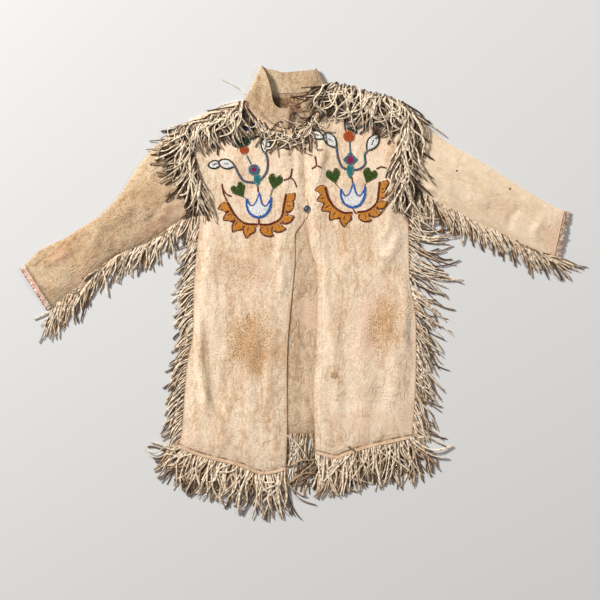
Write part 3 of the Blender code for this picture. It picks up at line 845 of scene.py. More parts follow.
# %% [markdown]
# ## Hem, side and underarm fringes
# These lie straight on the surface, so they fan away from the seams. The back hem's fringe lies lowest, under
# the fronts, and shows in the gap between them and behind their own fringes.

# %% Hem fringes
def raised(line, rise, scale=1.0):
    """A cutting line moved up the garment."""
    return [(x * scale, y + rise) for x, y in line]


HEM = {"sway": 0.32, "layers": 3, "locks": 22, "root_z": 3.2 * MM, "ragged": 0.32}
fringe("hem_back", raised(BACK_HEM, 0.004, 0.97), 260, 4.4, 0.0, 0.35, 101, [
    (0.0, -104, 0.150, 6, 0), (0.5, -90, 0.155, 9, 0), (1.0, -74, 0.130, 6, 0),
], sway=0.18, floor=True)
fringe("hem_left", raised(LEFT_HEM, 0.004), 165, 5.0, 6.0, 0.60, 103, [
    (0.0, -150, 0.085, 13, 0), (0.08, -130, 0.105, 13, 0), (0.30, -110, 0.112, 12, 0),
    (0.65, -100, 0.112, 12, 0), (0.88, -92, 0.122, 9, 0), (1.0, -88, 0.132, 6, 0),
], **HEM)
fringe("hem_right", raised(RIGHT_HEM, 0.004), 150, 5.0, 6.0, 0.60, 107, [
    (0.0, -100, 0.105, 9, 0), (0.3, -102, 0.116, 12, 0), (0.6, -94, 0.104, 12, 0),
    (0.85, -72, 0.110, 12, 0), (1.0, -40, 0.120, 12, 0),
], **HEM)

# %% [markdown]
# The side and underarm fringes hang from seams that are at the edge of the garment, so most of each thong
# lies on the surface. A fence of two angles keeps them from turning back over the hides.

# %% Side and underarm fringes
fringe("side_left", SIDE_LEFT, 200, 4.0, 4.0, 0.30, 109, [
    (0.0, -138, 0.078, 7, 30), (0.3, -150, 0.066, 7, 38), (0.6, -152, 0.064, 7, 38),
    (0.85, -138, 0.074, 7, 25), (1.0, -112, 0.090, 6, 0),
], sway=0.12, locks=34, fence=(-178, -97), root_z=2.2 * MM)
fringe("side_right", SIDE_RIGHT, 180, 4.2, 4.0, 0.40, 113, [
    (0.0, -50, 0.108, 8, -14), (0.2, -46, 0.102, 9, -22), (0.45, -44, 0.098, 10, -20),
    (0.62, -42, 0.118, 13, 12), (0.80, -44, 0.150, 15, 42), (0.92, -52, 0.130, 16, 60),
    (1.0, -68, 0.085, 12, 40),
], sway=0.20, locks=30, fence=(-82, 22), root_z=2.2 * MM, ragged=0.45)
fringe("underarm_left", [(row[2] + 0.001, row[3] + 0.003) for row in SLEEVE_LEFT],
       230, 4.0, 4.0, 0.34, 127, [
    (0.0, -102, 0.078, 6, 0), (0.3, -112, 0.082, 7, 0), (0.6, -114, 0.086, 7, 0),
    (0.85, -110, 0.098, 9, 0), (1.0, -98, 0.110, 12, 0),
], sway=0.18, locks=34, fence=(-152, -76), root_z=2.4 * MM, ragged=0.30)
fringe("underarm_right", [(row[2] - 0.001, row[3] + 0.003) for row in SLEEVE_RIGHT],
       215, 4.4, 4.0, 0.30, 131, [
    (0.0, -84, 0.076, 7, 0), (0.25, -72, 0.080, 7, 0), (0.6, -64, 0.078, 7, 0),
    (0.85, -54, 0.084, 9, 0), (1.0, -26, 0.090, 10, 0),
], sway=0.14, locks=30, fence=(-100, -12), root_z=2.4 * MM, ragged=0.30)

# %% [markdown]
# ## Shoulder, armhole and neck fringes
# These are longer than the place they lie on, so they heap, cross and loop over the yoke. More layers and
# more curl make the heap, and a few strays reach past it.

# %% Shoulder, armhole and neck fringes
fringe("shoulder_left", [(-0.302, 0.440), (-0.244, 0.459), (-0.180, 0.482), (-0.150, 0.506)],
       140, 4.7, 10.0, 1.2, 137, [
    (0.0, -120, 0.085, 20, 10), (0.4, -104, 0.088, 26, 10), (0.75, -94, 0.095, 30, 10),
    (1.0, -78, 0.100, 24, 10),
], sway=0.42, layers=4, off=0.006, locks=13, fence=(-172, -52))
fringe("shoulder_right", [(0.060, 0.540), (0.094, 0.548), (0.164, 0.528), (0.229, 0.510), (0.268, 0.496)],
       155, 4.7, 10.0, 1.4, 139, [
    (0.0, -134, 0.100, 26, 20), (0.30, -104, 0.112, 32, 10), (0.7, -92, 0.112, 32, 0),
    (1.0, -66, 0.095, 18, -30),
], sway=0.45, layers=4, off=0.008, locks=12, fence=(-176, -30))
fringe("armhole_left", [(-0.312, 0.428), (-0.300, 0.390), (-0.284, 0.330), (-0.266, 0.262)],
       150, 4.7, 10.0, 0.8, 149, [
    (0.0, -150, 0.085, 18, 20), (0.18, -128, 0.095, 18, 15), (0.5, -104, 0.098, 18, 5),
    (0.8, -88, 0.092, 18, 5), (1.0, -72, 0.075, 16, 0),
], sway=0.32, layers=4, off=0.016, locks=15, fence=(-176, -58))
fringe("armhole_right", [(0.276, 0.480), (0.272, 0.430), (0.266, 0.350), (0.258, 0.275)],
       155, 4.7, 10.0, 0.9, 151, [
    (0.0, -48, 0.105, 12, -50), (0.15, -60, 0.110, 14, -40), (0.35, -80, 0.105, 16, -15),
    (0.8, -92, 0.095, 16, 10), (1.0, -88, 0.085, 14, 20),
], sway=0.36, layers=4, off=0.015, locks=15, fence=(-122, -34))
fringe("neck", [(-0.118, 0.452), (-0.078, 0.424), (-0.035, 0.412), (0.008, 0.428), (0.046, 0.474)],
       95, 3.4, 5.0, 2.0, 157, [
    (0.0, -80, 0.060, 36, 0), (0.5, -92, 0.055, 40, 0), (1.0, -118, 0.075, 36, 0),
], sway=0.5, layers=3, off=0.010, locks=12)

# %% [markdown]
# ## Seed beads
# The flowers are worked in glass seed beads about two millimetres across. Lines are lanes of beads side by
# side. A solid shape has a lane round it, and rows across it fill the inside. A bead never shares its place
# with another, so whatever is sewn first stays on top.

# %% Seed beads
BEAD = 2.1 * MM
BEAD_GAP = 0.78          # least distance between two beads, in beads
IN_ROW, ROW_TO_ROW = 0.97, 0.90  # pitch of the beads in a row, and of the rows, in beads
CORE_SHARE = 0.42        # reach of a shape's core, as a share of the shape's
OUTLINE_STEPS = 60


def linear(code):
    """Linear colour from a two-digits-each code of red, green and blue."""
    parts = [int(code[i:i + 2], 16) / 255 for i in (0, 2, 4)]
    return [c / 12.92 if c <= 0.04045 else ((c + 0.055) / 1.055) ** 2.4 for c in parts]


GLASS = {
    "white": linear("ffffff"), "green": linear("35560a"), "bottle": linear("06331f"),
    "ochre": linear("e39a2c"), "maroon": linear("70120a"), "blue": linear("1f6ec8"),
    "teal": linear("1f8c92"), "slate": linear("44748f"), "magenta": linear("a80f50"),
    "orange": linear("c4561a"), "brown": linear("7a4630"), "navy": linear("16265c"),
}


class Work:
    """The beads of one flower: where each is, its glass, and which places are taken."""

    def __init__(self):
        self.beads, self.taken = [], {}

    def sew(self, x, y, glass):
        """Add a bead, unless its place is taken."""
        cell = (int(x / BEAD // 1), int(y / BEAD // 1))
        for i in (-1, 0, 1):
            for j in (-1, 0, 1):
                for px, py in self.taken.get((cell[0] + i, cell[1] + j), ()):
                    if (px - x) ** 2 + (py - y) ** 2 < (BEAD_GAP * BEAD) ** 2:
                        return
        self.taken.setdefault(cell, []).append((x, y))
        self.beads.append((x, y, glass))


def lanes(work, points, glasses, closed=False):
    """Lanes side by side along the smooth curve through points, one for each glass named."""
    path = [Vector(p) for p in points]
    if closed:
        path.append(path[0])
    count = max(2, round(length_of(path) * 1.06 / BEAD))  # a curve is a little longer than its chords
    spots = walk(path, count, max(120, 3 * count))
    for k, glass in enumerate(glasses):
        away = (k - (len(glasses) - 1) / 2) * BEAD
        for i, spot in enumerate(spots):
            run = spots[min(i + 1, count)] - spots[max(i - 1, 0)]
            side = Vector((-run.y, run.x)).normalized() * away
            work.sew(spot.x + side.x, spot.y + side.y, glass)


def inside(x, y, outline):
    """Whether a point is inside a closed outline."""
    odd = False
    for (ax, ay), (bx, by) in zip(outline, outline[1:] + outline[:1]):
        if (ay > y) != (by > y) and x < (bx - ax) * (y - ay) / (by - ay) + ax:
            odd = not odd
    return odd


def solid(work, points, edge, fill, core=None, angle=0.0):
    """A lane round a shape and rows across its inside, with another glass at its core."""
    lanes(work, points, [edge], closed=True)
    loop = [Vector(p) for p in points] + [Vector(points[0])]
    outline = [tuple(p) for p in walk(loop, OUTLINE_STEPS)][:-1]
    cx, cy = (sum(column) / OUTLINE_STEPS for column in zip(*outline))
    reach = max(math.hypot(x - cx, y - cy) for x, y in outline)
    rows = int(reach / BEAD) + 1
    c, s = math.cos(math.radians(angle)), math.sin(math.radians(angle))
    for i in range(-rows, rows + 1):
        for j in range(-rows, rows + 1):
            u, v = (j + 0.5 * (i % 2)) * BEAD * IN_ROW, i * BEAD * ROW_TO_ROW
            x, y = cx + u * c - v * s, cy + u * s + v * c
            if inside(x, y, outline):
                near_core = math.hypot(u, v) < CORE_SHARE * reach
                work.sew(x, y, core if core and near_core else fill)


def placed(points, centre, angle=0.0, size=1.0):
    """A shape drawn in millimetres about its own middle, set in its place on the front."""
    c, s = math.cos(math.radians(angle)), math.sin(math.radians(angle))
    k = size * MM
    return [(centre[0] + k * (x * c - y * s), centre[1] + k * (x * s + y * c)) for x, y in points]


print(len(GLASS), "colours of glass, beads", BEAD / MM, "mm across")

# %% [markdown]
# ## The shapes of the flowers
# Each shape is drawn once, in millimetres about its own middle, and is turned and scaled where it is used.
# The lobed leaf is the exception: it grows along its own vein, so it is made of lobes set along a line.

# %% The shapes of the flowers
HEART = [(0, -20), (9, -9), (18, 3), (16, 14), (8, 18), (0, 10), (-8, 18), (-16, 14), (-18, 3), (-9, -9)]
LEAF = [(0, -22), (8, -12), (12, 1), (8, 14), (0, 20), (-8, 14), (-12, 1), (-8, -12)]
LOBE = [(-8, 3), (8, 3), (12, 6), (12, 13), (7, 22), (-5, 28), (-7, 19), (-11, 9)]
ROUND = [(0, -14), (10, -10), (14, 0), (10, 10), (0, 14), (-10, 10), (-14, 0), (-10, -10)]
DIAMOND = [(0, -21), (8, -11), (18, 0), (8, 11), (0, 21), (-8, 11), (-18, 0), (-8, -11)]
CALYX = [(0, -16), (5, -8), (8, 2), (7, 13), (0, 16), (-7, 13), (-8, 2), (-5, -8)]
BELL = [(0, -12), (14, -9), (25, 0), (16, 10), (0, 13), (-14, 9), (-24, 0), (-15, -9)]
CUP_LEFT = [(-31, 20), (-31, 4), (-24, -14), (-13, -23), (0, -27)]
CUP_RIGHT = [(31, 28), (31, 5), (24, -14), (13, -23), (0, -27)]
CUP_TEETH_LEFT = [(-31, 20), (-21, 4), (-10, 8), (0, 38)]
CUP_TEETH_RIGHT = [(0, 38), (9, 10), (21, 6), (31, 28)]
CUP_INSIDE = [(-28, 8), (-20, 2), (-10, 6), (0, 27), (9, 8), (21, 4), (28, 12), (22, -12), (0, -25),
              (-22, -12)]
VEIN_STEPS = 60
LOBE_LEAN = 34           # degrees that a lobe leans from square to the vein
LOBE_TAPER = 0.26        # share of their size that lobes lose over the whole vein
EDGE_STEPS = 46          # places for beads round a lobe
VEIN_CLEAR = 6.2 * MM    # a lobe's edge stops this near the vein


def open_cup(work, centre, angle=0.0):
    """A white cup with three teeth and a blue rim."""
    for side in (CUP_LEFT, CUP_RIGHT):
        lanes(work, placed(side, centre, angle), ["blue"] * 3)
    for teeth in (CUP_TEETH_LEFT, CUP_TEETH_RIGHT):
        lanes(work, placed(teeth, centre, angle), ["blue"] * 2)
    solid(work, placed(CUP_INSIDE, centre, angle), "white", "white", angle=90)


def leaf_branch(work, vein, side, count, size):
    """A lobed leaf along a vein. side is 1 or -1, for which side of the vein the lobes are on."""
    spots = walk(vein, VEIN_STEPS)
    lanes(work, vein, ["maroon"] * 3)

    def outward(a, b):
        return Vector((a.y - b.y, b.x - a.x)).normalized() * side

    for away in (2.0, 3.0):
        for a, b in zip(spots, spots[1:]):
            out = outward(a, b) * away * BEAD
            work.sew(a.x + out.x, a.y + out.y, "ochre")
    outlines = []
    for k in range(count):
        at = int(VEIN_STEPS * (k + 0.45) / count)
        run = spots[min(at + 1, VEIN_STEPS)] - spots[max(at - 1, 0)]
        angle = math.degrees(math.atan2(run.y, run.x)) + (0 if side > 0 else 180) - side * LOBE_LEAN
        outlines.append(placed(LOBE, spots[at], angle, size * (1.0 - LOBE_TAPER * k / count)))
    # A maroon edge goes round the lobes, two lanes deep, where no other lobe and no vein is in the way.
    hulls = [[tuple(p) for p in walk(shape + shape[:1], 40)][:-1] for shape in outlines]
    for k, outline in enumerate(hulls):
        others = hulls[:k] + hulls[k + 1:]
        middle = sum((Vector(p) for p in outline), Vector((0, 0))) / len(outline)
        for inset in (0.0, 0.13):
            for spot in walk(outline + outline[:1], EDGE_STEPS):
                x, y = spot.lerp(middle, inset)
                if not any(inside(x, y, other) for other in others) and not near(spots, x, y, VEIN_CLEAR):
                    work.sew(x, y, "maroon")
    for k in range(1, count):
        at = int(VEIN_STEPS * (k - 0.1) / count)
        out = outward(spots[at], spots[at + 1])
        lanes(work, [spots[at] + out * 8 * MM, spots[at] + out * 18 * MM], ["maroon"])
    for outline in outlines:
        solid(work, outline, "ochre", "ochre")


def near(spots, x, y, reach):
    return any(math.hypot(p.x - x, p.y - y) < reach for p in spots)


def two_tone(work, points):
    lanes(work, points, ["slate", "slate", "brown"])


def pale_leaf(work, centre, angle, size):
    lanes(work, placed([(-1, 5), (1, -5)], centre, angle, size), ["bottle"])
    lanes(work, placed(LEAF, centre, angle, size * 1.17), ["bottle"], closed=True)
    solid(work, placed(LEAF, centre, angle, size), "bottle", "white")


print("a heart is drawn with", len(HEART), "points, a lobe with", len(LOBE))

# %% [markdown]
# ## The two flowers
# Both fronts carry the same plant, worked by eye, so the two differ a little: a cup between two hearts, a
# bud on curling stems with pale leaves, and a lobed leaf on each side below.

# %% The left flower
left = Work()
leaf_branch(left, [(-0.116, 0.183), (-0.150, 0.187), (-0.174, 0.208), (-0.193, 0.240)], 1, 4, 1.42)
lanes(left, [(-0.193, 0.240), (-0.203, 0.262), (-0.208, 0.288)], ["maroon", "maroon"])
leaf_branch(left, [(-0.110, 0.183), (-0.082, 0.184), (-0.055, 0.200), (-0.047, 0.232), (-0.041, 0.262)],
            -1, 5, 1.38)
open_cup(left, (-0.113, 0.228), -4)
lanes(left, [(-0.112, 0.183), (-0.112, 0.199)], ["maroon", "maroon"])
lanes(left, [(-0.114, 0.268), (-0.115, 0.282)], ["maroon", "maroon"])
solid(left, placed(HEART, (-0.163, 0.272), 30), "green", "green", angle=20)
solid(left, placed(HEART, (-0.070, 0.295), -14), "green", "green")
lanes(left, [(-0.151, 0.256), (-0.145, 0.249)], ["bottle"])
lanes(left, [(-0.077, 0.274), (-0.082, 0.258)], ["bottle"])
solid(left, placed(CALYX, (-0.116, 0.297), 4), "teal", "teal")
solid(left, placed(ROUND, (-0.124, 0.325)), "slate", "slate", "magenta")
two_tone(left, [(-0.175, 0.336), (-0.163, 0.312), (-0.150, 0.296), (-0.124, 0.292)])
two_tone(left, [(-0.094, 0.372), (-0.089, 0.346), (-0.092, 0.320), (-0.108, 0.298)])
pale_leaf(left, (-0.196, 0.340), 76, 0.95)
pale_leaf(left, (-0.226, 0.339), 100, 0.8)
pale_leaf(left, (-0.094, 0.391), -8, 0.95)
solid(left, placed(BELL, (-0.158, 0.395), 8), "bottle", "bottle")
solid(left, placed(ROUND, (-0.150, 0.377), 0, 0.8), "orange", "orange")
lanes(left, [(-0.143, 0.362), (-0.133, 0.341)], ["slate", "slate"])
solid(left, placed(BELL, (-0.138, 0.437), 18, 0.75), "navy", "navy")
solid(left, placed(LEAF, (-0.200, 0.446), -50, 0.9), "bottle", "blue")
lanes(left, [(-0.096, 0.440), (-0.108, 0.416), (-0.134, 0.404)], ["slate", "slate"])
lanes(left, [(-0.026, 0.328), (-0.031, 0.306), (-0.047, 0.298)], ["maroon", "maroon"])
lanes(left, [(-0.031, 0.306), (-0.021, 0.298), (-0.014, 0.281)], ["maroon", "maroon"])
lanes(left, [(-0.205, 0.276), (-0.196, 0.262), (-0.184, 0.257)], ["maroon", "maroon"])
print("left flower:", len(left.beads), "beads")

# %% [markdown]
# The right flower is worked the same way, but its bud is a diamond and its leaves stand at other angles. Work
# that is sewn by eye is never an exact mirror.

# %% The right flower
right = Work()
leaf_branch(right, [(0.130, 0.214), (0.108, 0.214), (0.085, 0.228), (0.069, 0.252), (0.061, 0.280)],
            1, 5, 1.36)
leaf_branch(right, [(0.144, 0.215), (0.172, 0.220), (0.194, 0.240), (0.199, 0.268), (0.202, 0.294)],
            -1, 5, 1.24)
open_cup(right, (0.132, 0.254), -2)
lanes(right, [(0.140, 0.212), (0.133, 0.222)], ["maroon", "maroon"])
lanes(right, [(0.131, 0.292), (0.129, 0.306)], ["maroon", "maroon"])
solid(right, placed(HEART, (0.082, 0.309), 14), "green", "green")
solid(right, placed(HEART, (0.175, 0.310), -22), "green", "green", angle=-10)
lanes(right, [(0.088, 0.288), (0.101, 0.273)], ["bottle"])
lanes(right, [(0.166, 0.291), (0.162, 0.281)], ["bottle"])
solid(right, placed(CALYX, (0.125, 0.320), -2, 1.05), "teal", "teal")
solid(right, placed(DIAMOND, (0.126, 0.351)), "slate", "slate", "magenta")
two_tone(right, [(0.090, 0.381), (0.094, 0.356), (0.104, 0.333), (0.120, 0.325)])
two_tone(right, [(0.172, 0.376), (0.163, 0.364), (0.164, 0.341), (0.151, 0.328), (0.132, 0.324)])
pale_leaf(right, (0.074, 0.402), 40, 1.05)
pale_leaf(right, (0.040, 0.415), 62, 0.8)
pale_leaf(right, (0.184, 0.396), -34, 1.10)
solid(right, placed(ROUND, (0.122, 0.412), 0, 1.0), "orange", "orange")
solid(right, placed(BELL, (0.130, 0.428), -30, 0.6), "navy", "bottle")
lanes(right, [(0.124, 0.397), (0.125, 0.374)], ["slate", "slate"])
solid(right, placed(LEAF, (0.106, 0.484), -20), "navy", "blue")
solid(right, placed(LEAF, (0.182, 0.479), 20), "navy", "slate")
solid(right, placed(LEAF, (0.206, 0.452), -40, 0.8), "bottle", "teal")
lanes(right, [(0.110, 0.462), (0.114, 0.448), (0.122, 0.436)], ["slate", "slate"])
lanes(right, [(0.178, 0.458), (0.166, 0.440), (0.142, 0.432)], ["slate", "slate"])
lanes(right, [(0.034, 0.359), (0.037, 0.337), (0.026, 0.328)], ["maroon", "maroon"])
lanes(right, [(0.037, 0.337), (0.050, 0.331)], ["maroon", "maroon"])
lanes(right, [(0.194, 0.328), (0.206, 0.333), (0.218, 0.330)], ["maroon", "maroon"])
print("right flower:", len(right.beads), "beads")

# %% [markdown]
# A bead is a short drum with rounded ends, so a low sphere squashed along its hole is enough at this size.

# %% Setting the beads
def bead_work(name, work, seed):
    rng = random.Random(seed)
    bm = bmesh.new()
    bmesh.ops.create_uvsphere(bm, u_segments=6, v_segments=4, radius=0.5)
    piece, points = repeated(name, mesh_of(bm, "bead"), len(work.beads))
    piece.data.set_sharp_from_angle(angle=math.pi)
    places, colours = [], []
    for x, y, glass in work.beads:
        size, turn = BEAD * rng.uniform(0.98, 1.12), rng.uniform(0, 6.3)
        c, s = math.cos(turn), math.sin(turn)
        spin = np.array([[c, s, 0], [-s, c, 0], [0, 0, 0.78]])
        x, y = x + rng.gauss(0, 0.10 * MM), y + rng.gauss(0, 0.10 * MM)
        places.append(points @ spin * size + (x, y, ground(x, y, FRONTS_ONLY) + 0.34 * size))
        shade = rng.uniform(0.80, 1.06)
        colours.append(np.tile([part * shade for part in GLASS[glass]] + [1.0], (len(points), 1)))
    move_points(piece, places)
    note(piece, "glass", "FLOAT_COLOR", "color", colours)
    print(f"{name}: {len(work.beads)} beads, {triangles(piece)} triangles")
    return piece


beads_left = bead_work("beads_left", left, 163)
beads_right = bead_work("beads_right", right, 167)

# %% [markdown]
# ## Button
# One pewter-coloured button holds the coat. A profile is spun round its axis: a rolled rim, a hollow and a
# small boss, with a thong through its shank.

# %% Button
BUTTON_X, BUTTON_Y = 0.013, 0.2236
SPIN_STEPS = 40
button_z = ground(BUTTON_X, BUTTON_Y) + 0.4 * MM
# Half the button's outline in millimetres: distance from the axis, height
PROFILE = [(0.0, 0.0), (7.6, 0.0), (9.0, 0.8), (9.4, 1.8), (8.9, 2.7), (8.0, 3.0), (7.2, 2.6), (6.2, 2.1),
           (4.8, 2.4), (3.4, 3.0), (1.8, 3.5), (0.0, 3.7)]
bm = bmesh.new()
rail = [bm.verts.new((x * MM, 0, z * MM)) for x, z in PROFILE]
edges = [bm.edges.new(pair) for pair in zip(rail, rail[1:])]
bmesh.ops.spin(bm, geom=rail + edges, cent=(0, 0, 0), axis=(0, 0, 1), angle=2 * math.pi, steps=SPIN_STEPS,
               use_merge=True)
bmesh.ops.remove_doubles(bm, verts=bm.verts, dist=WELD)
bmesh.ops.recalc_face_normals(bm, faces=bm.faces)
bmesh.ops.translate(bm, vec=(BUTTON_X, BUTTON_Y, button_z), verts=bm.verts)
button = settle(from_bmesh(bm, "button_pewter"), 60)
print("button top at", round(button_z / MM + PROFILE[-1][1], 1), "mm")

# %% [markdown]
# ## Stitches and ties
# Sinew stitches show along both hems, down the placket of the right front and along the edge of the left
# one. Each is a short pull of thread that dips at both ends, so they are bent from the same kind of template
# as the thongs. The ties are a few longer thongs laid one by one: at the throat, at the button, at the left
# shoulder and at the left hem.

# %% Stitches and ties
STITCH_RINGS = 3
STITCH = template(5, STITCH_RINGS)
THREAD = 0.7 * MM


def stitches(name, rows, seed):
    """Running stitches. rows: a line on the hide, and the distance from one stitch to the next."""
    rng = random.Random(seed)
    runs = []
    for line, pitch in rows:
        spots = walk(line, max(2, int(length_of(walk(line, 60)) / pitch)))
        for a, b in zip(spots, spots[1:]):
            start, end = a.lerp(b, 0.18), a.lerp(b, 0.78)
            path = []
            for share, rise in ((0.0, -0.25), (0.5, 0.30), (1.0, -0.25)):
                spot = start.lerp(end, share)
                path.append((spot.x, spot.y, ground(spot.x, spot.y) + rise * MM))
            thread = [THREAD] * STITCH_RINGS
            runs.append((path, thread, thread, [0.0] * STITCH_RINGS, rng.random()))
    return bent_copies(name, STITCH, runs)


SEAMS = [
    ([(0.046, 0.330), (0.047, 0.200), (0.050, 0.060), (0.052, -0.150), (0.048, -0.400)], 6.0 * MM),
    (raised(LEFT_HEM[:-1], 0.009) + [(-0.048, -0.448)], 6.0 * MM),
    ([(0.042, -0.405)] + raised(RIGHT_HEM[1:-1], 0.009) + [(0.280, -0.366)], 6.0 * MM),
    ([(-0.044, -0.440), (-0.045, -0.166), (-0.037, -0.047), (-0.025, 0.078), (-0.024, 0.150)], 7.0 * MM),
]
stitching = stitches("stitching", SEAMS, 173)

tie_rng = random.Random(179)
TIES = [  # root x, root y, heading, length, curl, lift, width
    (-0.050, 0.458, -28, 0.055, 0.8, 2.0 * MM, 3.4 * MM),
    (-0.020, 0.470, -150, 0.050, 1.0, 2.0 * MM, 3.4 * MM),
    (-0.060, 0.448, -40, 0.060, 0.9, 3.0 * MM, 3.0 * MM),
    (0.014, 0.232, 96, 0.020, 0.5, 1.0 * MM, 2.4 * MM),
    (0.014, 0.216, -95, 0.018, 0.4, 1.0 * MM, 2.4 * MM),
    (-0.150, 0.505, 178, 0.078, 0.4, 1.0 * MM, 3.0 * MM),
    (-0.138, 0.520, 150, 0.080, 0.3, 1.0 * MM, 1.8 * MM),
    (-0.042, -0.362, -44, 0.105, 0.3, 6.0 * MM, 4.2 * MM),
]
ties = bent_copies("neck_ties", THONG, [
    lay_thong(tie_rng, (x, y), math.radians(heading), length, curl, 0.1, lift, width, 0.9)
    for x, y, heading, length, curl, lift, width in TIES
])
print("stitching:", triangles(stitching), "triangles;", len(TIES), "ties")

# %% [markdown]
# ## Buckskin, as a shader
# Smoked buckskin is matt and napped like suede. Its colour drifts in soft patches, with streaks down the
# hide, and a fine nap catches the light. One group makes the patches, the streaks and the height, and each
# hide's own material mixes its colours with them.

# %% Helpers for node trees
def fill(tree, made, sockets):
    """Set each input named to a value, or link it to another node's socket."""
    for key, source in sockets.items():
        if isinstance(source, bpy.types.NodeSocket):
            tree.links.new(source, made.inputs[key])
        else:
            made.inputs[key].default_value = source


def node(tree, kind, sockets=(), **settings):
    made = tree.nodes.new(kind)
    for key, value in settings.items():
        setattr(made, key, value)
    fill(tree, made, dict(sockets))
    return made


def group_tree(name, ins, outs):
    tree = bpy.data.node_groups.new(name, "ShaderNodeTree")
    for label, kind, value in ins:
        made = tree.interface.new_socket(label, in_out="INPUT", socket_type="NodeSocket" + kind)
        if value is not None:
            made.default_value = value
    for label in outs:
        tree.interface.new_socket(label, in_out="OUTPUT", socket_type="NodeSocketFloat")
    return tree, tree.nodes.new("NodeGroupInput").outputs, tree.nodes.new("NodeGroupOutput")


def maths(tree, operation, *values):
    return node(tree, "ShaderNodeMath", enumerate(values), operation=operation).outputs[0]


def noise_at(tree, vector, scale, detail=4.0, rough=0.55, stretch=(1, 1, 1)):
    mapping = node(tree, "ShaderNodeMapping", {"Vector": vector, "Scale": stretch})
    return node(tree, "ShaderNodeTexNoise", {
        "Vector": mapping.outputs["Vector"], "Scale": scale, "Detail": detail, "Roughness": rough,
    }).outputs["Fac"]


def sum_of(tree, *terms):
    """Weighted sum of values: each term is (socket, weight)."""
    total = 0.0
    for socket, weight in terms:
        total = maths(tree, "MULTIPLY_ADD", socket, weight, total)
    return total


def spread(tree, value, low, high, to_low=0.0, to_high=1.0):
    """A smooth ramp from to_low, where value is low, to to_high, where it is high."""
    return node(tree, "ShaderNodeMapRange", {
        "Value": value, "From Min": low, "From Max": high, "To Min": to_low, "To Max": to_high,
    }, interpolation_type="SMOOTHSTEP").outputs["Result"]


def blend(tree, share, a, b):
    return node(tree, "ShaderNodeMix", {0: share, 6: a, 7: b}, data_type="RGBA").outputs[2]


def bumps(tree, height, strength, depth):
    return node(tree, "ShaderNodeBump", {
        "Strength": strength, "Distance": depth, "Height": height}).outputs["Normal"]


def attribute(tree, name, output="Fac"):
    return node(tree, "ShaderNodeAttribute", attribute_name=name).outputs[output]


def new_material(name):
    """A material, its node tree, its shader, and the place on the garment in metres."""
    mat = bpy.data.materials.new(name)
    mat.use_nodes = True
    tree = mat.node_tree
    return mat, tree, tree.nodes["Principled BSDF"], node(tree, "ShaderNodeTexCoord").outputs["Object"]


def rgba(code):
    return (*linear(code), 1)


print("pure white is", rgba("ffffff"))

# %% [markdown]
# The nap is three scales of noise: streaks stretched down the hide, a grain of a few millimetres and a fuzz
# finer than that. Their weighted sum is the height for the bump. Broad patches, the streaks and the grain
# also go out alone, to mix colours with.

# %% The nap of buckskin
nap, nap_in, nap_out = group_tree(
    "buckskin_nap", [("Vector", "Vector", None), ("Drift", "Float", 9.0)],
    ["Patch", "Streak", "Grain", "Height"])
place = nap_in["Vector"]
streak = noise_at(nap, place, 44.0, 5.0, 0.62, (1.0, 0.26, 1.0))
grain = noise_at(nap, place, 230.0, 5.0, 0.7)
fuzz = noise_at(nap, place, 900.0, 3.0, 0.7)
fill(nap, nap_out, {
    "Patch": noise_at(nap, place, nap_in["Drift"], 5.0, 0.6), "Streak": streak, "Grain": grain,
    "Height": sum_of(nap, (streak, 0.8), (grain, 0.45), (fuzz, 0.25))})
print("nap group has", len(nap.nodes), "nodes")

# %% [markdown]
# Rubbed hide doesn't darken evenly: the colour takes to the high points first and leaves speckles. So a
# stain is fine noise with a level that rises towards its centre, inside a ragged oval. The same group also
# lays the patches of painted shade.

# %% A speckled stain
stain, stain_in, stain_out = group_tree("speckled_stain_and_shade", [
    ("Vector", "Vector", None), ("Centre", "Vector", (0, 0, 0)), ("Reach", "Vector", (0.1, 0.1, 1.0)),
    ("Density", "Float", 0.5), ("Size", "Float", 260.0),
], ["Mask", "Halo"])


def vector_maths(tree, operation, *values, output="Vector"):
    return node(tree, "ShaderNodeVectorMath", enumerate(values), operation=operation).outputs[output]


off_centre = vector_maths(stain, "SUBTRACT", stain_in["Vector"], stain_in["Centre"])
scaled = vector_maths(stain, "DIVIDE", off_centre, stain_in["Reach"])
far = vector_maths(stain, "LENGTH", scaled, output="Value")
ragged = sum_of(stain, (noise_at(stain, stain_in["Vector"], 24.0, 4.0), 0.7), (far, 1.0))
halo = spread(stain, ragged, 1.35, 0.45)
specks = noise_at(stain, stain_in["Vector"], stain_in["Size"], 2.0, 0.6)
level = maths(stain, "MULTIPLY_ADD", halo, stain_in["Density"], specks)
mask = maths(stain, "MULTIPLY", spread(stain, level, 0.66, 0.74), spread(stain, halo, 0.0, 0.12))
fill(stain, stain_out, {"Mask": mask, "Halo": halo})
print("stain group has", len(stain.nodes), "nodes")

# %% [markdown]
# ## The hides' materials
# Every hide uses the nap group with its own colours. Stains sit where they are on the garment, in metres:
# ochre speckle where the coat was carried against the body, brown at the elbow and pink at the cuffs. The
# darkest patches, under the heaped fringes and inside the neck, are painted shade.

# %% The hides' materials
CREAM, TAN, SHADE = rgba("f2ddc3"), rgba("ddc0a0"), rgba("b38c66")
SOFT_CREAM, SOFT_TAN = rgba("e9d3b7"), rgba("dcc1a1")
# The darkest worn brown is also used as painted shade: in the hem's fold, inside the neck and on the collar's
# wings.
WORN_CREAM, WORN_TAN, DARK_BROWN_AND_SHADE = rgba("d4bc9b"), rgba("b99975"), rgba("7d5a3c")
INNER_LIGHT, INNER_MID, INNER_DARK = rgba("d6bd9e"), rgba("bb9c7c"), rgba("8f6d4d")
# The darkest brown is painted shade, laid under the heaped fringes and inside the neck.
ROSE, OCHRE, UMBER, PAINTED_DEEP_SHADE = rgba("deb89e"), rgba("ae7a3e"), rgba("8a5a2e"), rgba("5d412b")
PINK, SOOT = rgba("cf9482"), rgba("4a3524")


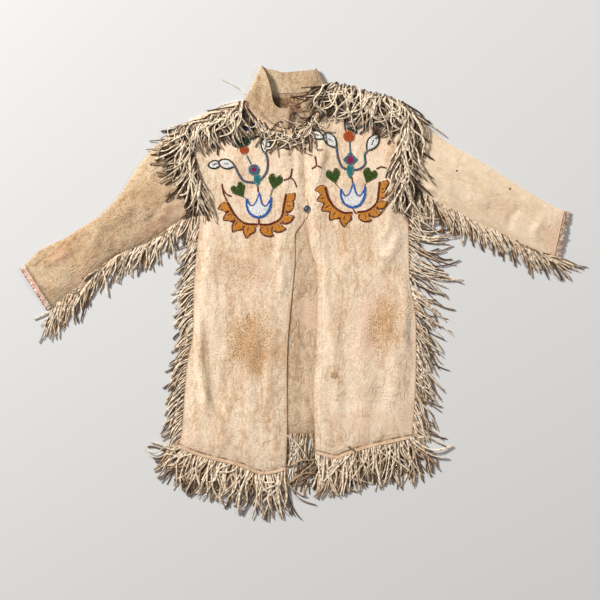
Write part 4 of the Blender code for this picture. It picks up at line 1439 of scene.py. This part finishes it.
def hide_material(name, light, mid, dark, stains_and_shade=(), drift=9.0, bump=0.5, edge_dirt=0.55, turn=0, hem=0.0):
    """Buckskin. Patches of stain and of painted shade: centre, reach, density, colour, strength, speck
    size. turn: degrees, of its streaks.
    hem: how far up the hide its hem is turned, as a share; a dark band there is painted shadow of the fold."""
    mat, tree, shader, where = new_material(name)
    turned = node(tree, "ShaderNodeMapping", {
        "Vector": where, "Rotation": (0.0, 0.0, math.radians(turn))}).outputs["Vector"]
    surface_of = node(tree, "ShaderNodeGroup", node_tree=nap)
    fill(tree, surface_of, {"Vector": turned, "Drift": drift})
    patch, streak, grain, height = surface_of.outputs
    # Broad tones come first, then dark in the grain's hollows, then wrinkle lines and a rosy drift.
    blotch = noise_at(tree, turned, 120.0, 4.0, 0.65, (1.0, 0.6, 1.0))
    tone = sum_of(tree, (patch, 0.26), (streak, 0.40), (blotch, 0.34))
    colour = blend(tree, spread(tree, tone, 0.41, 0.55), mid, light)
    colour = blend(tree, spread(tree, tone, 0.47, 0.36, 0.0, 0.50), colour, dark)
    colour = blend(tree, spread(tree, grain, 0.54, 0.36, 0.0, 0.55), colour, dark)
    wrinkle = noise_at(tree, turned, 20.0, 3.0, 0.55, (1.0, 0.42, 1.0))
    line = spread(tree, maths(tree, "PINGPONG", wrinkle, 0.5), 0.474, 0.5)
    colour = blend(tree, maths(tree, "MULTIPLY", line, 0.26), colour, dark)
    rosy = spread(tree, noise_at(tree, where, 8.0, 3.0), 0.50, 0.66, 0.0, 0.45)
    colour = blend(tree, rosy, colour, ROSE)
    for centre, reach, density, tint, strength, size in stains_and_shade:
        spot = node(tree, "ShaderNodeGroup", node_tree=stain)
        fill(tree, spot, {"Vector": where, "Centre": (*centre, 0.0), "Reach": (*reach, 1.0),
                          "Density": density, "Size": size})
        for part, weight in (("Halo", 0.15 * strength), ("Mask", strength)):
            colour = blend(tree, maths(tree, "MULTIPLY", spot.outputs[part], weight), colour, tint)
    flat = node(tree, "ShaderNodeUVMap", uv_map="flat").outputs["UV"]
    across, up = node(tree, "ShaderNodeSeparateXYZ", {0: flat}).outputs[:2]
    for way in (across, up):
        soiled = spread(tree, maths(tree, "PINGPONG", way, 0.5), 0.02, 0.0, 0.0, edge_dirt)
        colour = blend(tree, soiled, colour, dark)
    if hem:
        # A dark band along the fold of the turned hem, broken into patches: painted shadow of the fold.
        gap = maths(tree, "ABSOLUTE", maths(tree, "ADD", up, -hem))
        patchy = spread(tree, noise_at(tree, where, 60.0, 3.0), 0.42, 0.58, 0.25, 0.95)
        hem_fold_shadow = maths(tree, "MULTIPLY", spread(tree, gap, 0.0040, 0.001), patchy)
        colour = blend(tree, hem_fold_shadow, colour, DARK_BROWN_AND_SHADE)
    fill(tree, shader, {
        "Base Color": colour,
        "Roughness": spread(tree, grain, 0.3, 0.7, 0.82, 0.96),
        "Normal": bumps(tree, sum_of(tree, (height, 1.0), (line, -0.7)), bump, 1.2 * MM),
        "Sheen Weight": 0.22, "Sheen Roughness": 0.55, "Specular IOR Level": 0.2,
    })
    return mat


hide_left = hide_material("buckskin_left_front", CREAM, TAN, SHADE, [
    ((-0.130, -0.128), (0.118, 0.150), 0.24, OCHRE, 0.90, 430.0),
    ((-0.112, -0.175), (0.050, 0.060), 0.14, OCHRE, 0.90, 430.0),
    ((-0.095, 0.125), (0.070, 0.060), 0.15, OCHRE, 0.70, 430.0),
    ((-0.170, 0.070), (0.090, 0.080), 0.10, OCHRE, 0.55, 430.0),
    ((-0.230, -0.330), (0.080, 0.080), 0.08, OCHRE, 0.40, 400.0),
    ((-0.255, -0.140), (0.040, 0.180), 0.10, UMBER, 0.40, 400.0),
    # Painted shade under the heaped shoulder and armhole fringes.
    ((-0.230, 0.445), (0.095, 0.050), 0.55, PAINTED_DEEP_SHADE, 0.95, 240.0),
    ((-0.292, 0.350), (0.028, 0.105), 0.55, PAINTED_DEEP_SHADE, 0.95, 240.0),
    # A broad, faint darkening across the middle of the left front.
    ((-0.150, 0.060), (0.120, 0.110), 0.12, SHADE, 1.00, 320.0),
], hem=HEM_TURN)
hide_right = hide_material("buckskin_right_front", CREAM, TAN, SHADE, [
    ((0.214, -0.080), (0.080, 0.135), 0.22, OCHRE, 0.90, 430.0),
    ((0.140, 0.165), (0.100, 0.065), 0.13, OCHRE, 0.60, 430.0),
    ((0.096, -0.065), (0.035, 0.090), 0.17, OCHRE, 0.60, 430.0),
    ((0.084, -0.212), (0.014, 0.014), 0.60, UMBER, 0.55, 160.0),
    ((0.190, -0.255), (0.040, 0.040), 0.16, UMBER, 0.40, 300.0),
    # Painted shade under the heaped shoulder and armhole fringes.
    ((0.165, 0.490), (0.120, 0.060), 0.55, PAINTED_DEEP_SHADE, 0.95, 240.0),
    ((0.276, 0.350), (0.024, 0.120), 0.55, PAINTED_DEEP_SHADE, 0.95, 240.0),
], hem=HEM_TURN)
hide_sleeve_left = hide_material("buckskin_left_sleeve", WORN_CREAM, WORN_TAN, DARK_BROWN_AND_SHADE, [
    ((-0.490, 0.190), (0.170, 0.110), 0.17, UMBER, 0.60, 430.0),
    ((-0.385, 0.270), (0.090, 0.080), 0.15, OCHRE, 0.65, 430.0),
    ((-0.600, 0.110), (0.120, 0.080), 0.14, OCHRE, 0.60, 430.0),
    ((-0.629, 0.100), (0.045, 0.032), 0.14, PINK, 0.70, 80.0),
], turn=52)
hide_sleeve_right = hide_material("buckskin_right_sleeve", SOFT_CREAM, SOFT_TAN, TAN, [
    ((0.650, 0.160), (0.045, 0.080), 0.14, PINK, 0.60, 160.0),
    ((0.520, 0.240), (0.110, 0.065), 0.08, OCHRE, 0.45, 400.0),
    ((0.402, 0.322), (0.0045, 0.0035), 1.0, SOOT, 0.9, 60.0),
    ((0.540, 0.275), (0.0040, 0.0040), 1.0, SOOT, 0.9, 60.0),
], turn=-56)
cuff_hide = hide_material("buckskin_cuff_strip", rgba("f0dccb"), rgba("bd8f79"), rgba("5f3a2d"), [
    ((-0.700, 0.020), (0.060, 0.090), 0.22, PINK, 0.80, 120.0),
    # On the right cuff: painted shade of its ruffles.
    ((0.670, 0.160), (0.040, 0.110), 0.18, SHADE, 0.80, 120.0),
], drift=60.0, bump=0.9, edge_dirt=0.8)
hide_inside = hide_material("buckskin_inside", INNER_LIGHT, INNER_MID, INNER_DARK, [
    # Both patches are painted shade in the hollow inside the neck.
    ((-0.035, 0.495), (0.100, 0.045), 0.34, DARK_BROWN_AND_SHADE, 0.95, 200.0),
    ((-0.080, 0.500), (0.060, 0.030), 0.55, PAINTED_DEEP_SHADE, 0.90, 160.0),
], drift=14.0, bump=0.8)
hide_outside = hide_material("buckskin_back", CREAM, TAN, SHADE)
hide_collar = hide_material("buckskin_collar", WORN_CREAM, WORN_TAN, DARK_BROWN_AND_SHADE, [
    # The patches on the left and right wings are partly stain and partly painted shade of their folds; the
    # one across the back band is a stain.
    ((-0.118, 0.535), (0.040, 0.060), 0.16, DARK_BROWN_AND_SHADE, 0.60, 300.0),
    ((-0.020, 0.565), (0.090, 0.035), 0.12, DARK_BROWN_AND_SHADE, 0.50, 300.0),
    ((0.040, 0.550), (0.026, 0.050), 0.14, DARK_BROWN_AND_SHADE, 0.55, 300.0),
], edge_dirt=0.7)
print("hide material has", len(hide_left.node_tree.nodes), "nodes")

# %% [markdown]
# ## Thongs, beads and metal
# Each thong takes its own tone from cream to brown and darkens a little to its tip, where hands and weather
# have reached it. Lower layers take lower tones, so their brown is partly painted shade. Heaped thongs shade
# each other deeply, so they have a material of their own, with the lower layers painted near black.

# %% Materials of the thongs
def thong_material(name, light, mid, dark, tone_and_shade_limits=(0.08, 0.62)):
    """Thongs. The last argument gives the tones at which a thong is wholly dark and at which it is
    undarkened. Low tones are the lower layers of a fringe, so this darkening is painted shade as well as
    tone.
    """
    mat, tree, shader, where = new_material(name)
    tone = attribute(tree, "tone")
    surface_of = node(tree, "ShaderNodeGroup", {"Vector": where}, node_tree=nap).outputs
    mottle = spread(tree, noise_at(tree, where, 120.0, 4.0), 0.56, 0.38, 0.0, 0.55)
    tip = spread(tree, attribute(tree, "reach"), 0.80, 1.0, 0.0, 0.28)
    # Low tones go towards the dark colour: painted shade on the lower layers, with each thong's own tone;
    # mottle and tip are the hide's own marks.
    colour = blend(tree, spread(tree, tone, 0.35, 0.90), rgba(mid), rgba(light))
    for share in (spread(tree, tone, tone_and_shade_limits[1], tone_and_shade_limits[0], 0.0, 0.95), mottle, tip):
        colour = blend(tree, share, colour, rgba(dark))
    fill(tree, shader, {
        "Base Color": colour,
        "Roughness": spread(tree, surface_of["Grain"], 0.3, 0.7, 0.80, 0.95),
        "Normal": bumps(tree, surface_of["Height"], 0.5, 0.6 * MM),
        "Sheen Weight": 0.2, "Specular IOR Level": 0.2,
    })
    return mat


thong_hide = thong_material("thong_buckskin", "f6e3ca", "cba983", "4a3220")
# Heaped fringes: a darker mid colour and near-black low tones, painted shade between the heaped thongs.
heap_shaded_thongs = thong_material("thong_buckskin_heaped_shade", "f3dfc4", "b08c66", "2e1d12", tone_and_shade_limits=(0.24, 0.88))
sinew = thong_material("sinew_thread", "c9ad84", "a5845a", "6e5233")
print("thongs read the tone and the reach of each point")

# %% [markdown]
# Beads read their glass colour from the piece, with a few flecks of dirt. The button is old pewter, dark in
# its hollows: one noise gives it its colour, its polish and its dents.

# %% Materials of the beads and the button
glass, tree, shader, where = new_material("seed_bead_glass")
speck = noise_at(tree, where, 500.0, 2.0)
dirty = spread(tree, speck, 0.60, 0.72, 0.0, 0.25)
fill(tree, shader, {
    "Base Color": blend(tree, dirty, attribute(tree, "glass", "Color"), (0.02, 0.015, 0.01, 1)),
    "Roughness": spread(tree, speck, 0.3, 0.7, 0.24, 0.42),
    "Specular IOR Level": 0.3,
})

pewter, tree, shader, where = new_material("old_pewter")
worn = noise_at(tree, where, 420.0, 5.0, 0.65)
fill(tree, shader, {
    "Base Color": blend(tree, spread(tree, worn, 0.40, 0.62), rgba("3f3f45"), rgba("9a9aa2")),
    "Roughness": spread(tree, worn, 0.35, 0.65, 0.55, 0.30),
    "Metallic": 0.85,
    "Normal": bumps(tree, worn, 0.5, 0.3 * MM),
})
print("materials so far:", len(bpy.data.materials))

# %% [markdown]
# ## Dressing the pieces
# Each piece takes its material and its place in the frame, and hides the measured solid that it stands for.
# The back shows its inside between the fronts and its outside over the shoulders, so it has two materials.

# %% Dressing the pieces
def dress(piece, mat, slot, *solids):
    piece.data.materials.clear()
    piece.data.materials.append(mat)
    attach(piece, "root")
    if solids:
        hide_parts(*solids)


dress(back, hide_inside, "buckskin_inside", "back")
back.data.materials.append(hide_outside)
for face in back.data.polygons:
    over_shoulder = face.center.y > 0.40 and not -0.150 < face.center.x < 0.062
    face.material_index = 1 if face.normal.z < 0 or over_shoulder else 0
for piece, mat, solid_name in (
    (front_left, hide_left, "front_left"), (front_right, hide_right, "front_right"),
    (sleeve_left, hide_sleeve_left, "sleeve_left"), (sleeve_right, hide_sleeve_right, "sleeve_right"),
    (cuff_left, cuff_hide, "cuff_trim_left"), (cuff_right, cuff_hide, "cuff_trim_right"),
    (collar, hide_collar, "collar"),
):
    dress(piece, mat, "buckskin", solid_name)
dress(button, pewter, "pewter", "button")
for beads in (beads_left, beads_right):
    dress(beads, glass, "buckskin")
dress(stitching, sinew, "fringe_hide")
dress(ties, thong_hide, "fringe_hide")
for name, piece in fringes.items():
    heaped = name.startswith(("shoulder", "armhole", "neck"))
    dress(piece, heap_shaded_thongs if heaped else thong_hide, "fringe_hide", "fringe_" + name)

# %% [markdown]
# The jacket's hides are eight: the back, two fronts, two sleeves, two cuff strips and the collar.

# %% The eight hides
print("eight hides: the back, two fronts, two sleeves, two cuff strips and the collar")

# %% [markdown]
# Last, the triangles of the finished jacket are counted. Thongs heap a little higher than the plain slabs
# that stood for them.

# %% Counting the triangles
total = sum(triangles(piece) for piece in jacket.objects)
print("the whole jacket has", total, "triangles")
bpy.context.view_layer.update()
